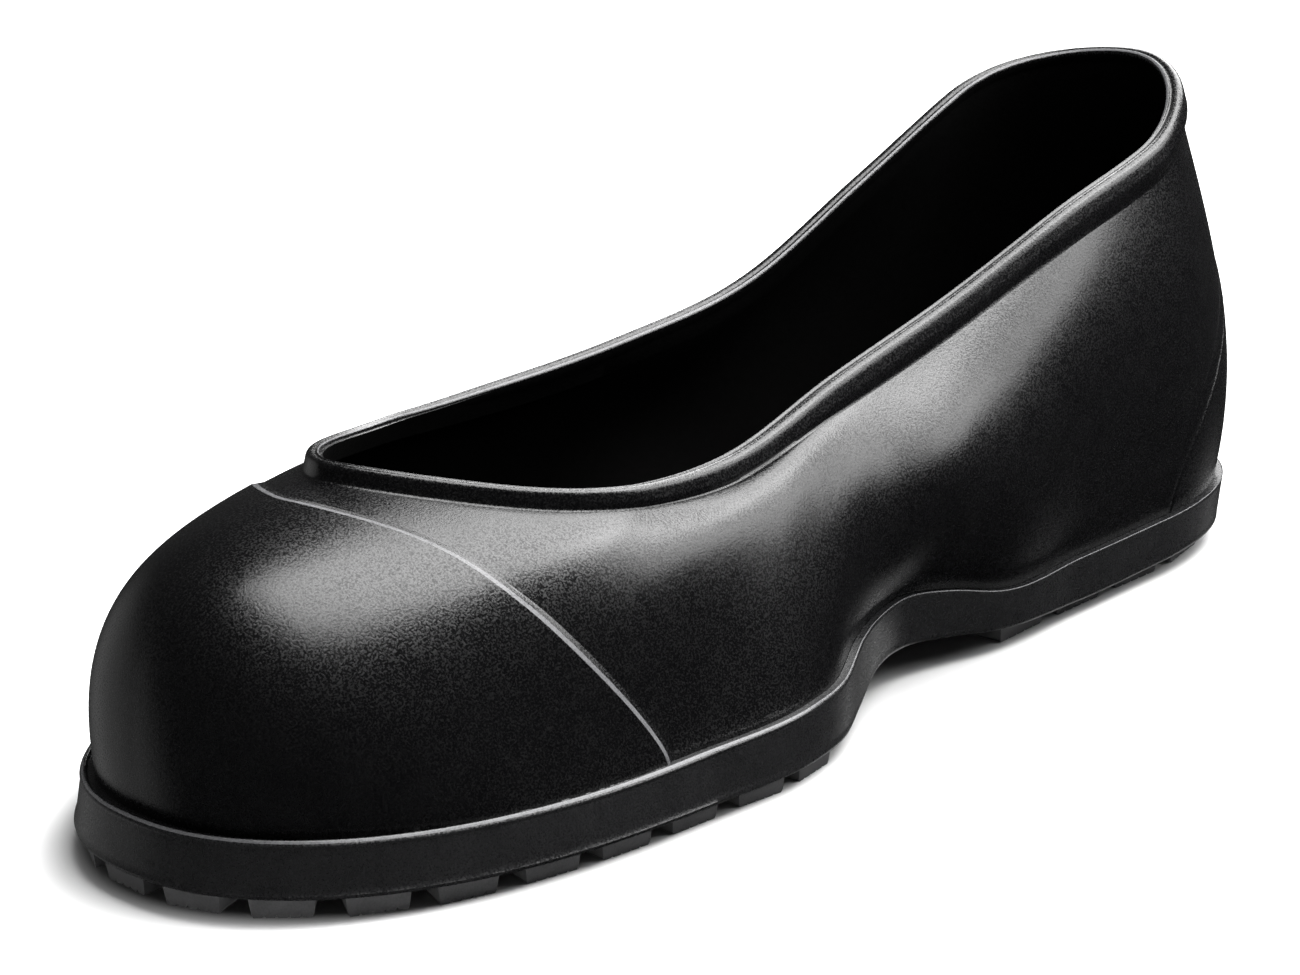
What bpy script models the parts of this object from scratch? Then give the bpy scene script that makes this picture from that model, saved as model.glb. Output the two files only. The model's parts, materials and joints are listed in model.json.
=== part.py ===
"""Low rubber overshoe for the right foot: cup sole, hollow upper, toe cap, heel counter, collar bead.

Metres. +X runs to the toe, +Y to the inner side of the foot, +Z up from the floor that the lugs stand on.
Every piece is cut from one form of the last: ribs from the sole's outline to an upright riser at the collar.
"""
import math
from collections import namedtuple

import bmesh
import bpy
import numpy as np

# Driving sizes
LENGTH = 0.317            # heel to toe over the sole's upper outline
GAP = 0.0003              # clearance between pieces that are bonded in the real shoe
WALL = 0.0022             # rubber wall of the upper
FLOOR = 0.0050            # sole between its underside and the footbed
CAP_PROUD = 0.0010        # toe cap above the vamp
COUNTER_PROUD = 0.0010    # heel counter above the quarters

# Rounding of the sole's ends: length over which the width closes, and how square the curve is
HEEL_ROUND, HEEL_SQUARENESS = 0.0505, 2.0
TOE_ROUND, TOE_SQUARENESS = 0.0855, 2.3
TOE_SWING = 0.004         # the toe turns to the inner side by this much
SWING_START = 0.55        # share of the length where that turn begins

# Collar: where it starts in front of the heel, where it ends behind the toe, and its end rounding
COLLAR_BACK = 0.0160
THROAT_TO_TOE = 0.0540
COLLAR_BACK_ROUND, COLLAR_BACK_SQUARENESS = 0.0330, 2.0
THROAT_ROUND, THROAT_SQUARENESS = 0.0495, 1.6

# Riser: upright strip of the wall below the collar's edge, lower towards the throat
RISER_HEIGHT = 0.0054
RISER_LEAN = math.radians(12)          # inwards from upright
RISER_SLIM = 0.38                      # share of its height that it loses
SLIM_FROM, SLIM_TO = 0.62, 0.87        # shares of the collar's length between which it loses that

# One row for each section of the sole, heel to toe: half widths, top of the band, underside
SoleRow = namedtuple("SoleRow", "share inner outer lip under")
SOLE_ROWS = (
    SoleRow(0.00, 0.0405, 0.0400, 0.0160, 0.0045),
    SoleRow(0.12, 0.0385, 0.0405, 0.0150, 0.0041),
    SoleRow(0.26, 0.0405, 0.0410, 0.0145, 0.0035),
    SoleRow(0.36, 0.0425, 0.0420, 0.0152, 0.0055),
    SoleRow(0.40, 0.0405, 0.0430, 0.0182, 0.0071),
    SoleRow(0.44, 0.0397, 0.0446, 0.0202, 0.0083),
    SoleRow(0.48, 0.0432, 0.0475, 0.0206, 0.0081),
    SoleRow(0.52, 0.0490, 0.0512, 0.0200, 0.0045),
    SoleRow(0.56, 0.0555, 0.0545, 0.0163, 0.0033),
    SoleRow(0.60, 0.0590, 0.0570, 0.0154, 0.0034),
    SoleRow(0.70, 0.0580, 0.0590, 0.0141, 0.0034),
    SoleRow(0.85, 0.0550, 0.0560, 0.0144, 0.0038),
    SoleRow(1.00, 0.0525, 0.0480, 0.0166, 0.0056),
)

# One row for each section of the collar, back to throat: half widths and heights of either side
CollarRow = namedtuple("CollarRow", "share inner outer inner_height outer_height")
COLLAR_ROWS = (
    CollarRow(0.00, 0.0275, 0.0295, 0.1135, 0.1135),
    CollarRow(0.10, 0.0285, 0.0280, 0.1015, 0.1075),
    CollarRow(0.25, 0.0290, 0.0305, 0.0905, 0.0895),
    CollarRow(0.40, 0.0285, 0.0320, 0.0780, 0.0725),
    CollarRow(0.55, 0.0300, 0.0330, 0.0690, 0.0665),
    CollarRow(0.70, 0.0340, 0.0350, 0.0610, 0.0635),
    CollarRow(0.85, 0.0350, 0.0330, 0.0630, 0.0640),
    CollarRow(1.00, 0.0300, 0.0300, 0.0710, 0.0710),
)

# One row for each rib's bend: how far it stands up and leans out of the sole, how far it runs back
# from its top and at what fall, and how far its foot lies inside the sole's outline
RibRow = namedtuple("RibRow", "share rise inner_lean outer_lean reach fall_deg inset")
RIB_ROWS = (
    RibRow(0.00, 0.0312, 0.0082, 0.0082, 0.0308, 75.0, 0.0024),
    RibRow(0.08, 0.0314, 0.0058, 0.0058, 0.0266, 70.5, 0.0024),
    RibRow(0.20, 0.0315, 0.0050, 0.0050, 0.0250, 63.5, 0.0023),
    RibRow(0.35, 0.0292, 0.0112, 0.0090, 0.0194, 45.0, 0.0021),
    RibRow(0.44, 0.0282, 0.0184, 0.0110, 0.0175, 45.0, 0.0020),
    RibRow(0.51, 0.0265, 0.0036, 0.0030, 0.0152, 39.0, 0.0020),
    RibRow(0.62, 0.0207, -0.0068, -0.0050, 0.0208, 10.0, 0.0029),
    RibRow(0.72, 0.0217, -0.0062, -0.0050, 0.0273, 6.0, 0.0036),
    RibRow(0.85, 0.0235, -0.0056, -0.0050, 0.0257, 11.0, 0.0036),
    RibRow(0.95, 0.0306, 0.0036, 0.0036, 0.0274, 11.0, 0.0036),
    RibRow(1.00, 0.0388, 0.0026, 0.0026, 0.0401, 8.0, 0.0036),
)

# Mesh steps: ribs on either side of the shoe, and rows up a rib
SIDE_RIBS = 37
EDGE_SAMPLES = 400        # fine steps along the edge from which the ribs are placed
BEND_PITCH = 0.030        # ribs crowd where the edge bends: a turn of one radian counts as this length
UPPER_ROWS = 15
CAP_ROWS = 14
COUNTER_ROWS = 9
BEAD_ROWS = 6

# Toe cap: share of the length where its rear edge leaves the sole, and that edge's line over the vamp
CAP_REAR = 0.720
CAP_CROWN = 0.900         # share of the middle rib that it covers
CAP_END = 0.05            # share of its first rib that it covers
CAP_SWEEP, CAP_BOW = 2.45, 0.727
CAP_SPLITS = (0.15, 0.35, 0.6, 1.5)    # extra steps in ribs where that edge climbs steeply

# Heel counter: share of the length where it ends, and share of the back rib that its peak covers
COUNTER_FRONT = 0.146
COUNTER_PEAK = 0.75
COUNTER_END = 0.04
COUNTER_BOW = 0.60

# Collar bead: a half-round roll on the outside of the riser, flush with its top edge
BEAD_PROUD = 0.0018
BEAD_EDGE = 0.0006        # thickness left at its upper and lower edge
BEAD_LIFT = 0.06          # share of the riser that stays free below it

# Band of the sole: lip at its top, step under the lip, flare towards the ground
LIP_ROUND = 0.0005
LIP_HEIGHT = 0.0018
LIP_STEP = 0.0006
LIP_STEP_FALL = 0.0004
FLARE_HEEL, FLARE_TOE = -0.0012, 0.0018
FLARE_FROM, FLARE_TO = 0.50, 0.70      # shares of the length between which the flare changes
EDGE_BEVEL = 0.0010

# Lugs: blocks round the edge of forefoot and heel, and rows of blocks between them
LUG_DROP = 0.0040         # height of a lug; where the sole rises further, so does its lug
LUG_ROOT = 0.0010         # how far a lug is sunk into the sole
LUG_DRAFT = 0.0006        # how much a lug narrows on each side on its way down
TOE_LUG_PITCH, HEEL_LUG_PITCH = 0.0172, 0.0216
LUG_GAP = 0.0050
LUG_DEPTH = 0.0140
TOE_LUG_INSET, HEEL_LUG_INSET = 0.0016, 0.0040    # from the band's lower edge to the lugs
FOREFOOT_START = 0.56     # share of the length where the forefoot's lugs begin
HEEL_END = 0.345          # share of the length where the heel's lugs end
BLOCK_SIZE = 0.0130       # a middle block along the shoe
BLOCK_SLANT = 0.0050      # how far a middle block's outer end lies further forward
MIDDLE_GAP = 0.0050       # between the two blocks of a row
MIDDLE_TOE_END, MIDDLE_HEEL_START = 0.87, 0.09    # shares of the length that the rows keep within
MIDDLE_HEEL_END = 0.30

# Black moulded rubber: colour, roughness
RUBBER = {
    "outsole": (0.016, 0.016, 0.017, 0.62),
    "upper": (0.014, 0.014, 0.015, 0.45),
    "toe_cap": (0.014, 0.014, 0.015, 0.42),
    "heel_counter": (0.014, 0.014, 0.015, 0.45),
    "collar_bead": (0.015, 0.015, 0.016, 0.40),
}
SMOOTH_BELOW = math.radians(35)


def column(rows, name):
    """One named column of a table as an array."""
    return np.array([getattr(row, name) for row in rows])


def along_table(rows, name, share):
    """Smooth curve through a table's column, read at the given shares of its length."""
    at = column(rows, "share")
    value = column(rows, name)
    step = np.diff(at)
    rise = np.diff(value) / step
    slope = np.empty_like(value)
    slope[0], slope[-1] = rise[0], rise[-1]
    slope[1:-1] = (step[1:] * rise[:-1] + step[:-1] * rise[1:]) / (step[:-1] + step[1:])
    k = np.clip(np.searchsorted(at, share, side="right") - 1, 0, len(step) - 1)
    t = (share - at[k]) / step[k]
    ends = (2 * t**3 - 3 * t**2 + 1) * value[k] + (3 * t**2 - 2 * t**3) * value[k + 1]
    bends = (t**3 - 2 * t**2 + t) * slope[k] + (t**3 - t**2) * slope[k + 1]
    return ends + bends * step[k]


def rounded_end(distance, length, squareness):
    """Factor that closes a width in a round end: 0 at the tip, 1 from length onwards."""
    left = np.clip(1 - distance / length, 0, 1)
    return (1 - left**squareness) ** (1 / squareness)


def outward(loop):
    """Outward unit normals, in plan, of a loop that runs from the heel along the inner side."""
    run = np.roll(loop, -1, axis=0) - np.roll(loop, 1, axis=0)
    normal = np.column_stack([-run[:, 1], run[:, 0]])
    return normal / np.linalg.norm(normal, axis=1)[:, None]


def bezier(ctrl, v):
    """Points at share v of each rib, from its four control points."""
    v = v[:, None]
    near = (1 - v) ** 3 * ctrl[0] + 3 * (1 - v) ** 2 * v * ctrl[1]
    return near + 3 * (1 - v) * v**2 * ctrl[2] + v**3 * ctrl[3]


def bezier_slope(ctrl, v):
    """Direction of each rib at share v."""
    v = v[:, None]
    first, middle, last = (ctrl[k + 1] - ctrl[k] for k in range(3))
    return (1 - v) ** 2 * first + 2 * (1 - v) * v * middle + v**2 * last


def sole_edge(share, side, widths):
    """Plan of the band's top edge on the inner or outer side, with the half widths of either one."""
    ends = rounded_end(share * LENGTH, HEEL_ROUND, HEEL_SQUARENESS)
    ends = ends * rounded_end((1 - share) * LENGTH, TOE_ROUND, TOE_SQUARENESS)
    half_width = along_table(SOLE_ROWS, widths, share) * ends
    swing = TOE_SWING * np.clip((share - SWING_START) / (1 - SWING_START), 0, 1) ** 2
    return np.column_stack([LENGTH * (share - 0.5), swing + half_width * (1 if side == "inner" else -1)])


def share_of_turn(turn):
    """Share of the length at a share of the half turn from heel to toe; close together at either end."""
    return (1 - np.cos(np.pi * turn)) / 2


def turn_of_share(share):
    """Share of the half turn from heel to toe at a share of the length."""
    return np.arccos(1 - 2 * share) / np.pi


def rib_places():
    """Shares of the length with a rib: even along the inner edge, closer where it bends, one at each seam."""
    share = share_of_turn(np.linspace(0, 1, EDGE_SAMPLES))
    step = np.diff(sole_edge(share, "inner", "inner"), axis=0)
    heading = np.unwrap(np.arctan2(step[:, 1], step[:, 0]))
    bend = np.abs(np.diff(heading, prepend=heading[0]))
    walked = np.concatenate([[0], np.cumsum(np.linalg.norm(step, axis=1) + BEND_PITCH * bend)])
    places = np.interp(np.linspace(0, walked[-1], SIDE_RIBS + 1), walked, share)
    for seam in (CAP_REAR, COUNTER_FRONT):
        places[np.argmin(np.abs(places - seam))] = seam
    return places


class Last:
    """The shoe's form: sole outline, collar line and the ribs between them, once round from the heel."""

    def __init__(self):
        half = rib_places()
        self.share = np.concatenate([half, half[-2:0:-1]])
        self.inner = np.arange(2 * SIDE_RIBS) <= SIDE_RIBS
        self.lip = along_table(SOLE_ROWS, "lip", self.share)
        self.under = along_table(SOLE_ROWS, "under", self.share)
        self.floor = self.under + FLOOR
        self.outline, self.normal, self.foot = self.plan("inner")
        self.collar = self.collar_line()
        self.riser_out, self.riser_up = self.riser()
        self.ctrl = self.rib_controls()

    def plan(self, inner_widths):
        """Outline of the band's top, its outward normals, and the line of the wall's foot inside it."""
        edges = (sole_edge(self.share, "inner", inner_widths), sole_edge(self.share, "outer", "outer"))
        outline = np.where(self.inner[:, None], *edges)
        normal = outward(outline)
        return outline, normal, outline - normal * along_table(RIB_ROWS, "inset", self.share)[:, None]

    def sided(self, rows, inner_name, outer_name):
        """A table's inner column on the inner side and its outer column on the other."""
        inner = along_table(rows, inner_name, self.share)
        return np.where(self.inner, inner, along_table(rows, outer_name, self.share))

    def collar_line(self):
        """Line of the wall's outer top edge."""
        back = COLLAR_BACK - LENGTH / 2
        run = LENGTH - COLLAR_BACK - THROAT_TO_TOE
        ends = rounded_end(self.share * run, COLLAR_BACK_ROUND, COLLAR_BACK_SQUARENESS)
        ends = ends * rounded_end((1 - self.share) * run, THROAT_ROUND, THROAT_SQUARENESS)
        half_width = self.sided(COLLAR_ROWS, "inner", "outer") * ends
        height = self.sided(COLLAR_ROWS, "inner_height", "outer_height")
        aside = np.where(self.inner, half_width, -half_width)
        return np.column_stack([back + run * self.share, aside, height])

    def riser(self):
        """Unit vector out of the riser, and the whole way up it from its foot to the collar."""
        out = outward(self.collar[:, :2])
        upright = np.ones(len(out))
        across = np.column_stack([out * math.cos(RISER_LEAN), upright * math.sin(RISER_LEAN)])
        up = np.column_stack([-out * math.sin(RISER_LEAN), upright * math.cos(RISER_LEAN)])
        part = np.clip((self.share - SLIM_FROM) / (SLIM_TO - SLIM_FROM), 0, 1)
        height = RISER_HEIGHT * (1 - RISER_SLIM * part**2 * (3 - 2 * part))
        return across, up * height[:, None]

    def rib_controls(self):
        """Four control points of each rib: foot, handle out of the sole, handle below the riser, its top.

        The handles follow an outline without the inner side's waist, so that the wall above it stays even.
        """
        _, plain_normal, plain_foot = self.plan("outer")
        foot = np.column_stack([self.foot, self.lip])
        base = self.collar - self.riser_up
        lean = self.sided(RIB_ROWS, "inner_lean", "outer_lean")
        rise = along_table(RIB_ROWS, "rise", self.share)
        reach = along_table(RIB_ROWS, "reach", self.share)
        fall = np.radians(along_table(RIB_ROWS, "fall_deg", self.share))
        apart = plain_foot - base[:, :2]
        apart = apart / np.linalg.norm(apart, axis=1)[:, None]
        low = foot + np.column_stack([plain_normal * lean[:, None], rise])
        high = base + np.column_stack([apart * (reach * np.cos(fall))[:, None], -reach * np.sin(fall)])
        return np.stack([foot, low, high, base])

    def between(self, values, ribs):
        """Values of whole ribs, read between them at fractional ribs along their first axis."""
        low = np.floor(ribs).astype(int)
        part = (ribs - low).reshape((-1,) + (1,) * (values.ndim - 1))
        count = len(values)
        return values[low % count] * (1 - part) + values[(low + 1) % count] * part

    def rib_normals(self, ribs, v):
        """Outward unit normals at share v of whole ribs."""
        count = self.ctrl.shape[1]
        here, ahead, behind = (self.ctrl[:, (ribs + step) % count] for step in (0, 1, -1))
        normal = np.cross(bezier_slope(here, v), bezier(ahead, v) - bezier(behind, v))
        return normal / np.linalg.norm(normal, axis=1)[:, None]

    def skin(self, v, out, ribs=None):
        """Points at share v of each rib, moved outwards from the form by out."""
        ribs = np.arange(len(self.share)) if ribs is None else ribs
        v = np.broadcast_to(np.asarray(v, float), ribs.shape)
        low = np.floor(ribs).astype(int)
        part = (ribs - low)[:, None]
        ctrl = np.stack([self.between(corner, ribs) for corner in self.ctrl])
        normal = self.rib_normals(low, v) * (1 - part) + self.rib_normals(low + 1, v) * part
        return bezier(ctrl, v) + normal * out

    def riser_skin(self, part, out):
        """Points at a part of the riser's height, moved outwards from it by out."""
        return self.collar - self.riser_up * (1 - part) + self.riser_out * out


def shell(outer, inner, closed):
    """Vertices and faces of a wall between two grids of rows; closed joins the last rib to the first."""
    rows, ribs = len(outer), len(outer[0])
    verts = np.concatenate([np.concatenate(outer), np.concatenate(inner)])
    base = rows * ribs
    spans = ribs if closed else ribs - 1
    faces = []
    for row in range(rows - 1):
        for rib in range(spans):
            a, b = row * ribs + rib, row * ribs + (rib + 1) % ribs
            faces.append((a, b, b + ribs, a + ribs))
            faces.append((base + a + ribs, base + b + ribs, base + b, base + a))
    top = (rows - 1) * ribs
    for rib in range(spans):
        nxt = (rib + 1) % ribs
        faces.append((base + rib, base + nxt, nxt, rib))
        faces.append((top + rib, top + nxt, base + top + nxt, base + top + rib))
    if not closed:
        for row in range(rows - 1):
            a, b = row * ribs, (row + 1) * ribs
            faces.append((a, b, base + b, base + a))
            a, b = a + ribs - 1, b + ribs - 1
            faces.append((base + a, base + b, b, a))
    return verts, faces


def bowl(rings):
    """Vertices and faces of a solid whose first and last ring are closed by strips from side to side."""
    ribs = len(rings[0])
    faces = []
    for row in range(len(rings) - 1):
        for rib in range(ribs):
            a, b = row * ribs + rib, row * ribs + (rib + 1) % ribs
            faces.append((a, b, b + ribs, a + ribs))
    for first, step in ((0, 1), ((len(rings) - 1) * ribs, -1)):
        for k in range(SIDE_RIBS):
            across = [first + k, first + k + 1, first + ribs - k - 1, first + (ribs - k) % ribs]
            corners = list(dict.fromkeys(across))
            faces.append(tuple(corners[::step]))
    return np.concatenate(rings), faces


def upper_walls(last):
    """Hollow upper: ribs and riser with their inner offset, and a straight edge down to the footbed."""
    walls = []
    for out in (0.0, -WALL):
        wall = [last.skin(v, out) for v in np.linspace(0, 1, UPPER_ROWS)] + [last.riser_skin(1.0, out)]
        edge = wall[0].copy()
        edge[:, 2] = last.floor + GAP
        walls.append([edge] + wall)
    return shell(*walls, closed=True)


def overlay(last, ribs, cover, rows, proud):
    """A layer on the upper over the given ribs, from the band up to the share cover of each rib."""
    outer = [last.skin(cover * step, proud, ribs) for step in np.linspace(0, 1, rows)]
    inner = [last.skin(cover * step, GAP, ribs) for step in np.linspace(0, 1, rows)]
    for edge in (outer[0], inner[0]):
        edge[:, 2] = last.between(last.lip, ribs) + GAP
    return shell(outer, inner, closed=False)


def toe_cap_layer(last):
    """Toe cap: its rear edge sweeps from the band on either side over the vamp."""
    turn = turn_of_share(last.share)
    first = np.argmin(np.abs(last.share[: SIDE_RIBS + 1] - CAP_REAR))
    splits = first + np.array(CAP_SPLITS)
    whole = np.arange(first, 2 * SIDE_RIBS - first + 1)
    ribs = np.sort(np.concatenate([whole, splits, 2 * SIDE_RIBS - splits]))
    aside = (1 - last.between(turn, ribs)) / (1 - turn[first])
    cover = CAP_END + (CAP_CROWN - CAP_END) * (1 - aside**CAP_SWEEP) ** CAP_BOW
    return overlay(last, ribs, cover, CAP_ROWS, CAP_PROUD)


def heel_counter_layer(last):
    """Heel counter: a pointed patch, highest on the back seam."""
    turn = turn_of_share(last.share)
    end = np.argmin(np.abs(last.share[: SIDE_RIBS + 1] - COUNTER_FRONT))
    ribs = np.arange(-end, end + 1)
    aside = last.between(turn, ribs) / turn[end]
    cover = COUNTER_END + (COUNTER_PEAK - COUNTER_END) * (1 - aside) ** COUNTER_BOW
    return overlay(last, ribs, cover, COUNTER_ROWS, COUNTER_PROUD)


def bead_roll(last):
    """Collar bead: half-round section against the outside of the riser, flush with its top edge."""
    outer, inner = [], []
    for angle in np.linspace(-math.pi / 2, math.pi / 2, BEAD_ROWS):
        part = BEAD_LIFT + (1 - BEAD_LIFT) * (1 + math.sin(angle)) / 2
        proud = GAP + BEAD_EDGE + (BEAD_PROUD - BEAD_EDGE) * math.cos(angle)
        outer.append(last.riser_skin(part, proud))
        inner.append(last.riser_skin(part, GAP))
    return shell(outer, inner, closed=True)


def band_flare(last):
    """How far the band's lower edge stands out from its upper outline."""
    part = np.clip((last.share - FLARE_FROM) / (FLARE_TO - FLARE_FROM), 0, 1)
    return FLARE_HEEL + (FLARE_TOE - FLARE_HEEL) * part


def cup_sole(last):
    """Sole without lugs: footbed, band with lip, step and flare, and the arched underside."""
    seat = last.foot + last.normal * GAP
    flare = band_flare(last)

    def ring(offset, height):
        plan = last.outline + last.normal * np.broadcast_to(offset, flare.shape)[:, None]
        return np.column_stack([plan, height])

    return bowl([
        np.column_stack([seat, last.floor]),
        np.column_stack([seat, last.lip]),
        ring(-LIP_ROUND, last.lip),
        ring(0.0, last.lip - LIP_ROUND),
        ring(0.0, last.lip - LIP_HEIGHT),
        ring(-LIP_STEP, last.lip - LIP_HEIGHT - LIP_STEP_FALL),
        ring(flare, last.under + EDGE_BEVEL),
        ring(flare - EDGE_BEVEL, last.under),
    ])


def underside(x):
    """Height of the sole's underside at a place along the shoe."""
    return float(along_table(SOLE_ROWS, "under", np.clip(x / LENGTH + 0.5, 0, 1)))


def tapered_block(plan):
    """Lug on a four-cornered plan: sunk into the sole above, narrower at the ground."""
    plan = np.asarray(plan)
    centre = plan.mean(axis=0)
    verts = []
    for corner in plan:
        verts.append((*corner, underside(corner[0]) + LUG_ROOT))
    for corner in plan:
        inwards = (centre - corner) / np.linalg.norm(centre - corner)
        corner = corner + inwards * LUG_DRAFT * math.sqrt(2)
        verts.append((*corner, max(0.0, underside(corner[0]) - LUG_DROP)))
    faces = [(0, 1, 2, 3), (7, 6, 5, 4)]
    faces += [(k, k + 4, (k + 1) % 4 + 4, (k + 1) % 4) for k in range(4)]
    return np.array(verts), faces


def edge_lugs(last, ribs, lug_pitch, inset):
    """Blocks along the sole's edge over a run of ribs, evenly spaced by the length of that edge."""
    edge = (last.outline + last.normal * (band_flare(last) - inset)[:, None])[ribs]
    inward = -last.normal[ribs]
    walked = np.concatenate([[0], np.cumsum(np.linalg.norm(np.diff(edge, axis=0), axis=1))])
    count = round((walked[-1] + LUG_GAP) / lug_pitch)
    pitch = (walked[-1] + LUG_GAP) / count

    def at(distance, depth):
        place = np.array([np.interp(distance, walked, edge[:, k]) for k in range(2)])
        turn = np.array([np.interp(distance, walked, inward[:, k]) for k in range(2)])
        return place + turn / np.linalg.norm(turn) * depth

    for k in range(count):
        start, end = k * pitch, k * pitch + pitch - LUG_GAP
        yield tapered_block([at(start, 0), at(end, 0), at(end, LUG_DEPTH), at(start, LUG_DEPTH)])


def middle_lugs(last, start_share, end_share, lug_pitch, inset):
    """Pairs of slanted blocks between the edge lugs, over a stretch of the sole."""
    order = np.argsort(last.outline[: SIDE_RIBS + 1, 0])
    xs = last.outline[order, 0]
    inner_edge = last.outline[order, 1]
    outer_edge = last.outline[(-order) % (2 * SIDE_RIBS), 1]
    margin = inset + LUG_DEPTH + LUG_GAP
    first, stop = LENGTH * (start_share - 0.5), LENGTH * (end_share - 0.5)
    for x in np.arange(first, stop - BLOCK_SIZE, lug_pitch):
        centre = x + BLOCK_SIZE / 2
        inner_y = np.interp(centre, xs, inner_edge) - margin
        outer_y = np.interp(centre, xs, outer_edge) + margin
        middle = (inner_y + outer_y) / 2
        for near, far in ((middle + MIDDLE_GAP / 2, inner_y), (middle - MIDDLE_GAP / 2, outer_y)):
            plan = [(x, near), (x + BLOCK_SIZE, near)]
            plan += [(x + BLOCK_SIZE + BLOCK_SLANT, far), (x + BLOCK_SLANT, far)]
            yield tapered_block(plan)


def lug_blocks(last):
    """All lugs as one set of separate blocks."""
    toe_ribs = np.flatnonzero(last.share >= FOREFOOT_START)
    low = np.flatnonzero(last.share <= HEEL_END)
    half = len(low) // 2 + 1
    heel_ribs = np.concatenate([low[half:], low[:half]])
    toe, heel = (TOE_LUG_PITCH, TOE_LUG_INSET), (HEEL_LUG_PITCH, HEEL_LUG_INSET)
    blocks = [*edge_lugs(last, toe_ribs, *toe), *edge_lugs(last, heel_ribs, *heel)]
    blocks += middle_lugs(last, FOREFOOT_START, MIDDLE_TOE_END, *toe)
    blocks += middle_lugs(last, MIDDLE_HEEL_START, MIDDLE_HEEL_END, *heel)
    verts, faces, base = [], [], 0
    for block_verts, block_faces in blocks:
        verts.append(block_verts)
        faces += [tuple(base + k for k in face) for face in block_faces]
        base += len(block_verts)
    return np.concatenate(verts), faces


def rubber(name):
    """Moulded black rubber for one piece."""
    red, green, blue, roughness = RUBBER[name]
    material = bpy.data.materials.new(f"{name}_rubber")
    material.use_nodes = True
    shader = material.node_tree.nodes["Principled BSDF"]
    shader.inputs["Base Color"].default_value = (red, green, blue, 1.0)
    shader.inputs["Roughness"].default_value = roughness
    shader.inputs["Metallic"].default_value = 0.0
    material.diffuse_color = (red, green, blue, 1.0)
    return material


def make_object(name, verts, faces, shift):
    """Mesh object from vertices and faces, with its faces turned outwards and its edges smoothed."""
    mesh = bpy.data.meshes.new(name)
    mesh.from_pydata([tuple(v) for v in verts + shift], [], faces)
    work = bmesh.new()
    work.from_mesh(mesh)
    bmesh.ops.recalc_face_normals(work, faces=work.faces)
    work.to_mesh(mesh)
    work.free()
    mesh.shade_smooth()
    mesh.set_sharp_from_angle(angle=SMOOTH_BELOW)
    obj = bpy.data.objects.new(name, mesh)
    bpy.context.scene.collection.objects.link(obj)
    return obj


def main():
    for obj in list(bpy.data.objects):
        bpy.data.objects.remove(obj, do_unlink=True)
    last = Last()
    pieces = {
        "outsole": cup_sole(last),
        "upper": upper_walls(last),
        "toe_cap": toe_cap_layer(last),
        "heel_counter": heel_counter_layer(last),
        "collar_bead": bead_roll(last),
    }
    # The origin lies on the floor under the middle of the whole shoe
    reach = np.concatenate([verts for verts, _ in pieces.values()])
    shift = -(reach.min(axis=0) + reach.max(axis=0)) / 2
    shift[2] = 0.0
    for name, (verts, faces) in pieces.items():
        obj = make_object(name, verts, faces, shift)
        obj.data.materials.append(rubber(name))
    lugs = make_object("lug_blocks", *lug_blocks(last), shift)
    lugs.hide_render = True
    lugs.display_type = "WIRE"
    union = bpy.data.objects["outsole"].modifiers.new("lugs", "BOOLEAN")
    union.operation = "UNION"
    union.solver = "EXACT"
    union.object = lugs


main()
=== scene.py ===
"""Looks of a low black rubber overshoe for the right foot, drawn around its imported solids.

Metres, in the row's frame: +X runs to the toe, +Y to the inner side of the foot, +Z up from the floor.
Every piece is drawn from one form of the last, finer than the solid whose place it takes.
"""

import json
import logging
import math
from dataclasses import dataclass, replace
from enum import IntEnum
from typing import Any, NamedTuple

import bpy
import numpy as np
from mathutils import Matrix, Vector

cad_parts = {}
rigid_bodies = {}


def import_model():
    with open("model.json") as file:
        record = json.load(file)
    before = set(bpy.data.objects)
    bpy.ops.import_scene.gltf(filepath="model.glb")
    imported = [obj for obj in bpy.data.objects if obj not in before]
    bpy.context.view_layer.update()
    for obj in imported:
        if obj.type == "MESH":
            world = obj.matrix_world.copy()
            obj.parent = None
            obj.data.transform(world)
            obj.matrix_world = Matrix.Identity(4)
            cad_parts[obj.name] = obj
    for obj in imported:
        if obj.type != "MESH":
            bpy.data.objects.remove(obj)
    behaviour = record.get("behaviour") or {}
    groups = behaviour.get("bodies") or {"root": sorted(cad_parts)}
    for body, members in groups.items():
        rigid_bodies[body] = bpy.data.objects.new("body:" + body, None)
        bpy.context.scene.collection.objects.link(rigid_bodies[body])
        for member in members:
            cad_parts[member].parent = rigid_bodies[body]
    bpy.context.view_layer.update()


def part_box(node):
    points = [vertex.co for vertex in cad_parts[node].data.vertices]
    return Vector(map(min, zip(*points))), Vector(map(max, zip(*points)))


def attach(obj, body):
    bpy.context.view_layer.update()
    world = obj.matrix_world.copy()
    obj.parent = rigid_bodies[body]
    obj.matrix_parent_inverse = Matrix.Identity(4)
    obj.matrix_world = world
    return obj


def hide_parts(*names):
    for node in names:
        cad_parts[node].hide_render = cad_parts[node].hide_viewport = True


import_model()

LOG = logging.getLogger("overshoe")
MM = 0.001

Faces = list[tuple[int, ...]]


class SoleRow(NamedTuple):
    """Section of the sole: half widths of either side, top of the band, underside."""

    share: float
    inner: float
    outer: float
    lip: float
    under: float


class CollarRow(NamedTuple):
    """Section of the collar: half widths and heights of either side."""

    share: float
    inner: float
    outer: float
    inner_height: float
    outer_height: float


class RibRow(NamedTuple):
    """Bend of a rib: rise and lean out of the sole, reach and fall from its top, inset of its foot."""

    share: float
    rise: float
    inner_lean: float
    outer_lean: float
    reach: float
    fall_deg: float
    inset: float


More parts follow.
